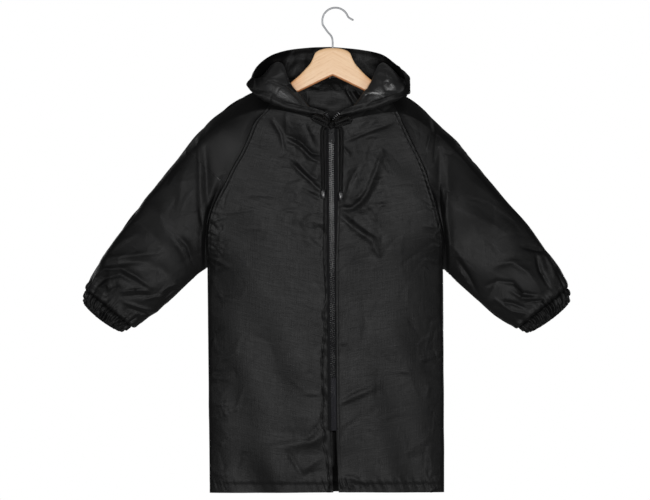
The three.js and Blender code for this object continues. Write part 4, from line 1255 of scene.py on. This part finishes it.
def hood_relief(grid, normals):
    x, y, z = np.moveaxis(grid, -1, 0)
    front = ease(-y / 6)
    total = lift_of(HOOD_FRONT_CREASES, x, z) * front
    total += lift_of(HOOD_BACK_CREASES, x, z) * (1 - front)
    box = (-160, 140, -260, -60)
    total += crumple(x, z + y, 53, 130, box, (14, 50), (1.8, 5), (0.2, 0.8), 0.3)
    total += crumple(x, z - y, 61, 110, (-130, 120, -260, -110), (12, 40), (3, 7), (0.4, 1.2)) * (1 - front)
    total += swell(x + y, z, 59, 8, (40, 110), 0.7)
    rim = from_rim(grid)
    total += 0.5 * ease((CASING_WIDTH - rim) / 0.6)
    total += 1.0 * np.exp(-(((rim - CASING_WIDTH / 2) / 4.5) ** 2))
    total -= 0.6 * np.exp(-(((rim - CASING_WIDTH) / 1.0) ** 2))
    pucker = np.sin((x + 0.7 * y) / 17 * 2 * np.pi + 2.2 * np.sin(x / 23))
    total += (0.16 + 0.3 * front) * pucker * np.exp(-(((rim - CASING_WIDTH) / 6) ** 2))
    return total * np.clip(np.minimum(rim, 400) / 2, 0.4, 1)


def add_hood(material, inside):
    for side in ("left", "right"):
        grid = hood_grid(side, 190, 120)
        grid = inset(grid, [(0, 1), (1, 0)])
        outward = 1 if side == "left" else -1
        # The casing shows the outer cloth inside; on the hood's back that darker outer cloth inside is
        # painted shade.
        cloth(f"cloth_hood_{side}", grid, material, outward=outward, relief=hood_relief,
              inside=inside, facing=casing_or_painted_shade)


# Tubes along a route, with a rounded or braided skin
def resample(points, pitch):
    """A smooth curve through points, evenly spaced, and its lengths."""
    points = np.asarray(points, float)
    fine = catmull(points, np.linspace(0, len(points) - 1, 60 * len(points)))
    lengths = np.concatenate([[0], np.cumsum(np.linalg.norm(np.diff(fine, axis=0), axis=-1))])
    count = max(4, int(round(lengths[-1] / pitch)) + 1)
    even = np.linspace(0, lengths[-1], count)
    return np.stack([np.interp(even, lengths, fine[:, k]) for k in range(3)], axis=-1), even


def frames(route):
    """Two unit vectors across a route at each point, without twist."""
    tangent = unit(np.gradient(route, axis=0))
    first = np.cross(tangent[0], (0, 1, 0))
    if np.linalg.norm(first) < 0.1:
        first = np.cross(tangent[0], (1, 0, 0))
    sides = [first / np.linalg.norm(first)]
    for direction in tangent[1:]:
        side = sides[-1] - direction * np.dot(sides[-1], direction)
        sides.append(side / np.linalg.norm(side))
    sides = np.array(sides)
    return sides, np.cross(tangent, sides)


def tube(name, points, diameter, material, pitch, sides=20, braided=False, round_ends=False):
    route, along = resample(points, pitch)
    one, two = frames(route)
    angle = np.linspace(0, 2 * np.pi, sides, endpoint=False)
    radius = np.full((len(route), sides), diameter / 2)
    if braided:
        turn = along[:, None] / 7.5 * 2 * np.pi
        plait = np.maximum(np.cos(4 * angle + turn * 2), np.cos(4 * angle - turn * 2))
        radius = radius + BRAID_HEIGHT * (plait - 0.4)
    if round_ends:
        gap = np.minimum(along, along[-1] - along)
        cap = np.clip(gap / (diameter / 2), 0, 1)
        radius = radius * np.sqrt(1 - (1 - cap) ** 2)[:, None].clip(0.08)
    ring = (one[:, None] * np.cos(angle)[None, :, None] + two[:, None] * np.sin(angle)[None, :, None])
    grid = route[:, None] + ring * radius[..., None]
    faces = capped_faces(len(route), sides)
    uv = np.stack(np.broadcast_arrays(along[:, None], angle[None] * diameter / 2), axis=-1)
    piece = new_object(name, grid.reshape(-1, 3), faces, material, uv.reshape(-1, 2))
    turn_out(piece)
    return piece, (route * MM).tolist(), along[-1] * MM


def turn_out(piece):
    """Makes every face look out of a closed mesh."""
    shape = bmesh.new()
    shape.from_mesh(piece.data)
    bmesh.ops.recalc_face_normals(shape, faces=shape.faces)
    shape.to_mesh(piece.data)
    shape.free()


def lathe(name, profile, centre, material, sides=28):
    """A turned piece hanging down from centre; the profile is radius and drop."""
    profile, _ = resample([[r, 0, z] for r, z in profile], 0.5)
    angle = np.linspace(0, 2 * np.pi, sides, endpoint=False)
    radius = np.repeat(profile[:, :1], sides, axis=1)
    grid = np.stack([
        centre[0] + radius * np.cos(angle),
        centre[1] + radius * np.sin(angle),
        centre[2] + np.broadcast_to(profile[:, 2][:, None], radius.shape),
    ], axis=-1)
    piece = new_object(name, grid.reshape(-1, 3), capped_faces(len(profile), sides), material)
    turn_out(piece)
    return piece


BELL_PROFILE = [
    (1.2, -0.2), (3.4, -0.4), (4.0, -1.6), (4.5, -4), (4.8, -8), (4.8, -10.5), (4.4, -13.5),
    (3.6, -15.6), (2.2, -16.1), (0.4, -16.1),
]


def add_cords(material, plastic):
    knot = add_knot(material)
    for side in ("left", "right"):
        tail = CORD_TAILS[side]
        route = CORD_LEADS[side] + [list(KNOT["centre"])] + tail
        bell = lathe(f"cord_bell_{side}", BELL_PROFILE, tail[-1], plastic)
        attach(bell, BODY)
        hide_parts(f"cord_end_{side}")
        cord, path, length = tube(f"cord_drawn_{side}", route, CORD, material, 0.8, 20, True)
        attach(cord, BODY)
        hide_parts(f"cord_tail_{side}", f"cord_lead_{side}")
    for side in ("left", "right"):
        loop, path, length = tube(f"cord_bow_{side}", BOW_LOOPS[side], CORD, material, 0.8, 20, True)
        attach(loop, BODY)
        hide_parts(f"bow_loop_{side}")


def add_knot(material):
    """The bow's knot: turns of the cord round a core."""
    x, y, z = KNOT["centre"]
    rx, ry, rz = KNOT["radii"]
    turns = []
    for k, (tilt, level, size) in enumerate([(0.25, 2.4, 0.8), (-0.3, -2.2, 0.86), (1.35, 0.2, 0.72)]):
        ring = []
        for angle in np.linspace(0, 2 * np.pi, 19):
            across, out = np.cos(angle) * (rx - 1.6) * size, np.sin(angle) * (ry - 1.7)
            rise = level + across * math.tan(tilt) if k < 2 else np.cos(angle) * (rz - 2.2)
            ring.append([x + (across if k < 2 else across * 0.45), y + out, z + rise])
        piece, _, _ = tube(f"turn_{k}", ring, 3.9, material, 0.7, 16, True)
        turns.append(piece)
    core = lathe("knot_core", [(0.4, 6), (3.2, 5.4), (4.1, 2), (4.1, -2), (3.2, -5.4), (0.4, -6)],
                 (x, y, z), material)
    knot = join("cord_knot", [core, *turns])
    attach(knot, BODY)
    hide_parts("bow_knot")
    return knot


def join(name, pieces):
    """One object from several."""
    first = pieces[0]
    shape = bmesh.new()
    for piece in pieces:
        shape.from_mesh(piece.data)
    mesh = bpy.data.meshes.new(name)
    shape.to_mesh(mesh)
    shape.free()
    mesh.materials.append(first.data.materials[0])
    for piece in pieces:
        old = piece.data
        bpy.data.objects.remove(piece)
        bpy.data.meshes.remove(old)
    joined = bpy.data.objects.new(name, mesh)
    bpy.context.collection.objects.link(joined)
    return joined


# Zip
def zip_line(side):
    """Edge of a row of teeth from its top to the film: points and the inner side's sign."""
    sign = -1 if side == "left" else 1
    top = [[-15.5, -41.4, -182], [-11, -40.2, -191]] if side == "left" else [
        [5.3, -41.4, -182], [-2.4, -40.2, -191]]
    rows = catmull(MIDDLE, np.arange(0, FILM_ROWS[0] + 1))
    points = top + [[x + CHAIN_SHIFT + sign * SEAM_HALF_GAP, -depth, z] for z, x, depth in rows[:, :3]]
    return points, sign


# A tooth's section: depth and share of its half length
TOOTH_LEVELS = [(-1.0, 0.68), (-0.6, 0.94), (0.9, 1), (1.25, 0.75)]

# A tooth's shape: distance from the middle line and half length along the zip
TOOTH = [
    (-0.7, 0.6), (0.0, 0.8), (0.8, 0.55), (1.5, 0.85), (3.7, 0.85), (4.0, 0.6),
]


def add_teeth(material):
    """Moulded teeth, one by one, on a cord along each tape's edge."""
    for side in ("left", "right"):
        points, sign = zip_line(side)
        line, _ = resample(points, TOOTH_PITCH / 2)
        start = 0 if side == "left" else 1
        tangent = unit(np.gradient(line, axis=0))
        verts, faces = [], []
        for k in range(start, len(line), 2):
            spread = OPEN_SPREAD if line[k][2] > ZIP_OPEN_Z else 0
            base, down = line[k], tangent[k]
            out = np.array([0, -1.0, 0])
            away = unit(np.cross(down, out)) * (1 if np.cross(down, out)[0] * sign > 0 else -1)
            first = len(verts)
            for reach, half in TOOTH:
                reach = reach + spread
                for depth, thin in TOOTH_LEVELS:
                    for end in (-1, 1):
                        verts.append(base + away * reach - out * depth + down * end * half * thin)
            rings = len(TOOTH)
            order = [0, 2, 4, 6, 7, 5, 3, 1]
            for r in range(rings - 1):
                for a, b in zip(order, order[1:] + order[:1]):
                    one, two = first + r * 8, first + (r + 1) * 8
                    faces.append([one + a, one + b, two + b, two + a])
            faces.append([first + a for a in order][::-1])
            faces.append([first + (rings - 1) * 8 + a for a in order])
        piece = new_object(f"zip_chain_{side}", verts, faces, material, sharp=38)
        turn_out(piece)
        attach(piece, BODY)
        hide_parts(f"zip_teeth_{side}")


# Stitches
def edge_path(name, axis, end, distance):
    """Points and normals a distance in from one edge of a piece's outer surface."""
    lines, sides = (np.moveaxis(part, 1 - axis, 0) for part in SURFACES[name])
    if end == 1:
        lines, sides = lines[:, ::-1], sides[:, ::-1]
    points, normals = [], []
    for line, side in zip(lines, sides):
        lengths = np.concatenate([[0], np.cumsum(np.linalg.norm(np.diff(line, axis=0), axis=-1))])
        points.append([np.interp(distance, lengths, line[:, k]) for k in range(3)])
        normals.append([np.interp(distance, lengths, side[:, k]) for k in range(3)])
    return np.array(points), unit(np.array(normals))


def stitched_lines():
    lines = []
    for name in ("cloth_front_left", "cloth_front_right", "cloth_back"):
        lines.append(edge_path(name, 0, 1, HEM_STITCH))
    for side in ("left", "right"):
        points, normals = edge_path(f"cloth_front_{side}", 1, 1, RAGLAN_STITCH)
        above = points[:, 2] > ARMHOLE[side][-1][1]
        lines.append((points[above], normals[above]))
        lines.append(edge_path(f"cloth_front_{side}", 1, 0, ZIP_STITCH))
        lines.append(edge_path(f"cloth_hood_{side}", 1, 1, CASING_WIDTH))
        lines.append(edge_path(f"cloth_cuff_{side}", 0, 1, CUFF_STITCH))
        lines.append(edge_path(f"cloth_sleeve_upper_{side}", 0, 1, YOKE_STITCH))
    return lines


def add_stitches(name, lines, material):
    """Short raised threads along lines of points with their normals."""
    verts, faces = [], []
    sides = THREAD_SIDES
    for points, normals in lines:
        steps = np.linalg.norm(np.diff(points, axis=0), axis=-1)
        along = np.concatenate([[0], np.cumsum(steps)])
        for start in np.arange(1.0, along[-1] - STITCH_PITCH, STITCH_PITCH):
            ends = [np.array([np.interp(at, along, points[:, k]) for k in range(3)])
                    for at in (start, start + STITCH_LENGTH)]
            out = unit(np.array([np.interp(start, along, normals[:, k]) for k in range(3)]))
            run = unit(ends[1] - ends[0])
            across = np.cross(run, out)
            first = len(verts)
            for share, size, sink in ((0, 0.35, 0.25), (0.2, 1, -0.1), (0.8, 1, -0.1), (1, 0.35, 0.25)):
                centre = ends[0] + (ends[1] - ends[0]) * share - out * sink
                for k in range(sides):
                    angle = 2 * np.pi * k / sides
                    spoke = across * np.cos(angle) + out * np.sin(angle)
                    verts.append(centre + spoke * THREAD / 2 * size)
            for r in range(3):
                for k in range(sides):
                    n = (k + 1) % sides
                    a, b = first + r * sides, first + (r + 1) * sides
                    faces.append([a + k, a + n, b + n, b + k])
            faces.append([first + k for k in range(sides)][::-1])
            faces.append([first + 3 * sides + k for k in range(sides)])
    piece = new_object(name, verts, faces, material)
    turn_out(piece)
    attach(piece, BODY)


# Hanger
def add_wood(material, edge):
    """Arms as slices across a rounded section, from tip to tip."""
    top, lower = np.array(WOOD_TOP, float), np.array(WOOD_LOWER, float)
    half = np.concatenate([np.linspace(0, 26, 28), np.linspace(27, 42, 26), np.linspace(43.5, 145, 62),
                           np.linspace(146, 150.4, 9)])
    xs = np.concatenate([-half[::-1], half[1:]])
    up = np.interp(np.abs(xs), top[:, 0], top[:, 1])
    low = np.interp(np.abs(xs), lower[:, 0], lower[:, 1])
    smooth = np.array([0.25, 0.5, 0.25])
    for _ in range(4):
        up[1:-1] = np.convolve(up, smooth, "valid")
    middle, tall = (up + low) / 2, (up - low) / 2
    angle = np.linspace(0, 2 * np.pi, 44, endpoint=False)
    section_y = np.sign(np.sin(angle)) * np.abs(np.sin(angle)) ** 0.42
    squareness = 0.42 - 0.26 * np.minimum(tall, 24)[:, None] / 24
    section_z = np.sign(np.cos(angle)) * np.abs(np.cos(angle)) ** squareness
    tip = np.clip((150.5 - np.abs(xs)) / 3.5, 0, 1)
    depth = WOOD_HALF_DEPTH * np.sqrt(1 - (1 - tip) ** 2).clip(0.25)
    grid = np.stack([
        np.broadcast_to((xs + STEM_X)[:, None], section_z.shape),
        depth[:, None] * section_y[None],
        middle[:, None] + tall[:, None] * section_z,
    ], axis=-1)
    faces = capped_faces(*grid.shape[:2])
    lean = np.radians(33) * np.sign(xs) * np.clip(np.abs(xs) / 30, 0, 1)
    level = middle[:, None] + tall[:, None] * section_z
    uv = np.stack([
        np.broadcast_to((xs / np.cos(lean))[:, None], level.shape),
        level + np.abs(xs)[:, None] * 0.55 + depth[:, None] * section_y[None] * 0.3,
    ], axis=-1)
    piece = new_object("hanger_arms", grid.reshape(-1, 3), faces, material, uv.reshape(-1, 2), sharp=60)
    turn_out(piece)
    piece.data.materials.append(edge)
    for polygon in piece.data.polygons:
        x, _, z = (value / MM for value in polygon.center)
        if z - np.interp(abs(x - STEM_X), half, low[len(half) - 1:]) < LOWER_EDGE:
            polygon.material_index = 1
    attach(piece, BODY)
    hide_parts("hanger_wood")


def add_hook(material):
    arc = []
    for turn in range(200, 10, -10):
        angle = math.radians(turn)
        arc.append([HOOK_RADIUS * math.cos(angle), 0, HOOK_CENTRE_Z + HOOK_RADIUS * math.sin(angle)])
    route = [[STEM_X, 0, -72], [STEM_X, 0, -58], [-7, 0, -49], [-14, 0, -40.5], *arc,
             [24.5, 0, -16.5], [32, 0, -20.5]]
    piece, _, _ = tube("hanger_wire", route, WIRE, material, 1.0, 24, round_ends=True)
    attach(piece, BODY)
    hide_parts("hanger_hook")


# The whole coat: each piece's flat width and length before sewing, and its cut area, in metres
SHEETS = {
    "front_left": (0.24, 0.70, 0.138),
    "front_right": (0.21, 0.69, 0.122),
    "back": (0.43, 0.74, 0.273),
    "sleeve_upper_left": (0.38, 0.20, 0.029),
    "sleeve_upper_right": (0.33, 0.18, 0.0205),
    "sleeve_lower_left": (0.46, 0.31, 0.088),
    "sleeve_lower_right": (0.47, 0.33, 0.093),
    "cuff_left": (0.28, 0.036, 0.0084),
    "cuff_right": (0.29, 0.036, 0.0087),
    "hood_left": (0.36, 0.40, 0.061),
    "hood_right": (0.36, 0.40, 0.061),
}


def declare(node):
    piece = bpy.data.objects[f"cloth_{node}"]
    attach(piece, BODY)
    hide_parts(node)


def soften(node, material, width):
    """A CAD node keeps its shape and gets a fine bevel and a material."""
    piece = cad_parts[node]
    piece.data.materials.clear()
    piece.data.materials.append(material)
    if width:
        bevel = piece.modifiers.new("edge", "BEVEL")
        bevel.width = width * MM
        bevel.segments = 3
        bevel.limit_method = "ANGLE"
        bevel.angle_limit = math.radians(40)
        bevel.harden_normals = False


def main():
    add_camera()
    cord = braid()
    plastic = moulded("cord_end_plastic", (0.009, 0.009, 0.01), 0.27, 0.8)
    add_cords(cord, plastic)
    add_studio()
    add_floor()
    shell = taffeta("taffeta", (0.0036, 0.0036, 0.0037), 0.35, 0.135, 0.5)
    coated = taffeta("coated_taffeta", (0.007, 0.007, 0.0072), 0.25, 0.62, 0.4)
    add_fronts(shell)
    add_back(shell, coated)
    add_sleeves(shell)
    add_cuffs(shell)
    add_hood(shell, coated)
    for node in SHEETS:
        declare(node)
    teeth = moulded("zip_tooth_plastic", (0.006, 0.006, 0.007), 0.14, 0.11)
    enamel = moulded("slider_enamel", (0.004, 0.004, 0.005), 0.34, 0.05)
    film = moulded("zip_film_plastic", (0.009, 0.009, 0.012), 0.6, 0.1)
    add_teeth(teeth)
    tape = twill_tape()
    for side in ("left", "right"):
        soften(f"zip_tape_{side}", tape, 0)
    soften("zip_end", film, 0.5)
    soften("zip_slider", enamel, 0.5)
    soften("zip_pull", enamel, 0.35)
    thread = moulded("sewing_thread", (0.006, 0.006, 0.006), 0.5, 0.3)
    add_stitches("seam_stitches", stitched_lines(), thread)
    add_wood(beech("beech", PALE_WOOD), beech("beech_edge", AMBER_WOOD))
    add_hook(steel_wire())


main()
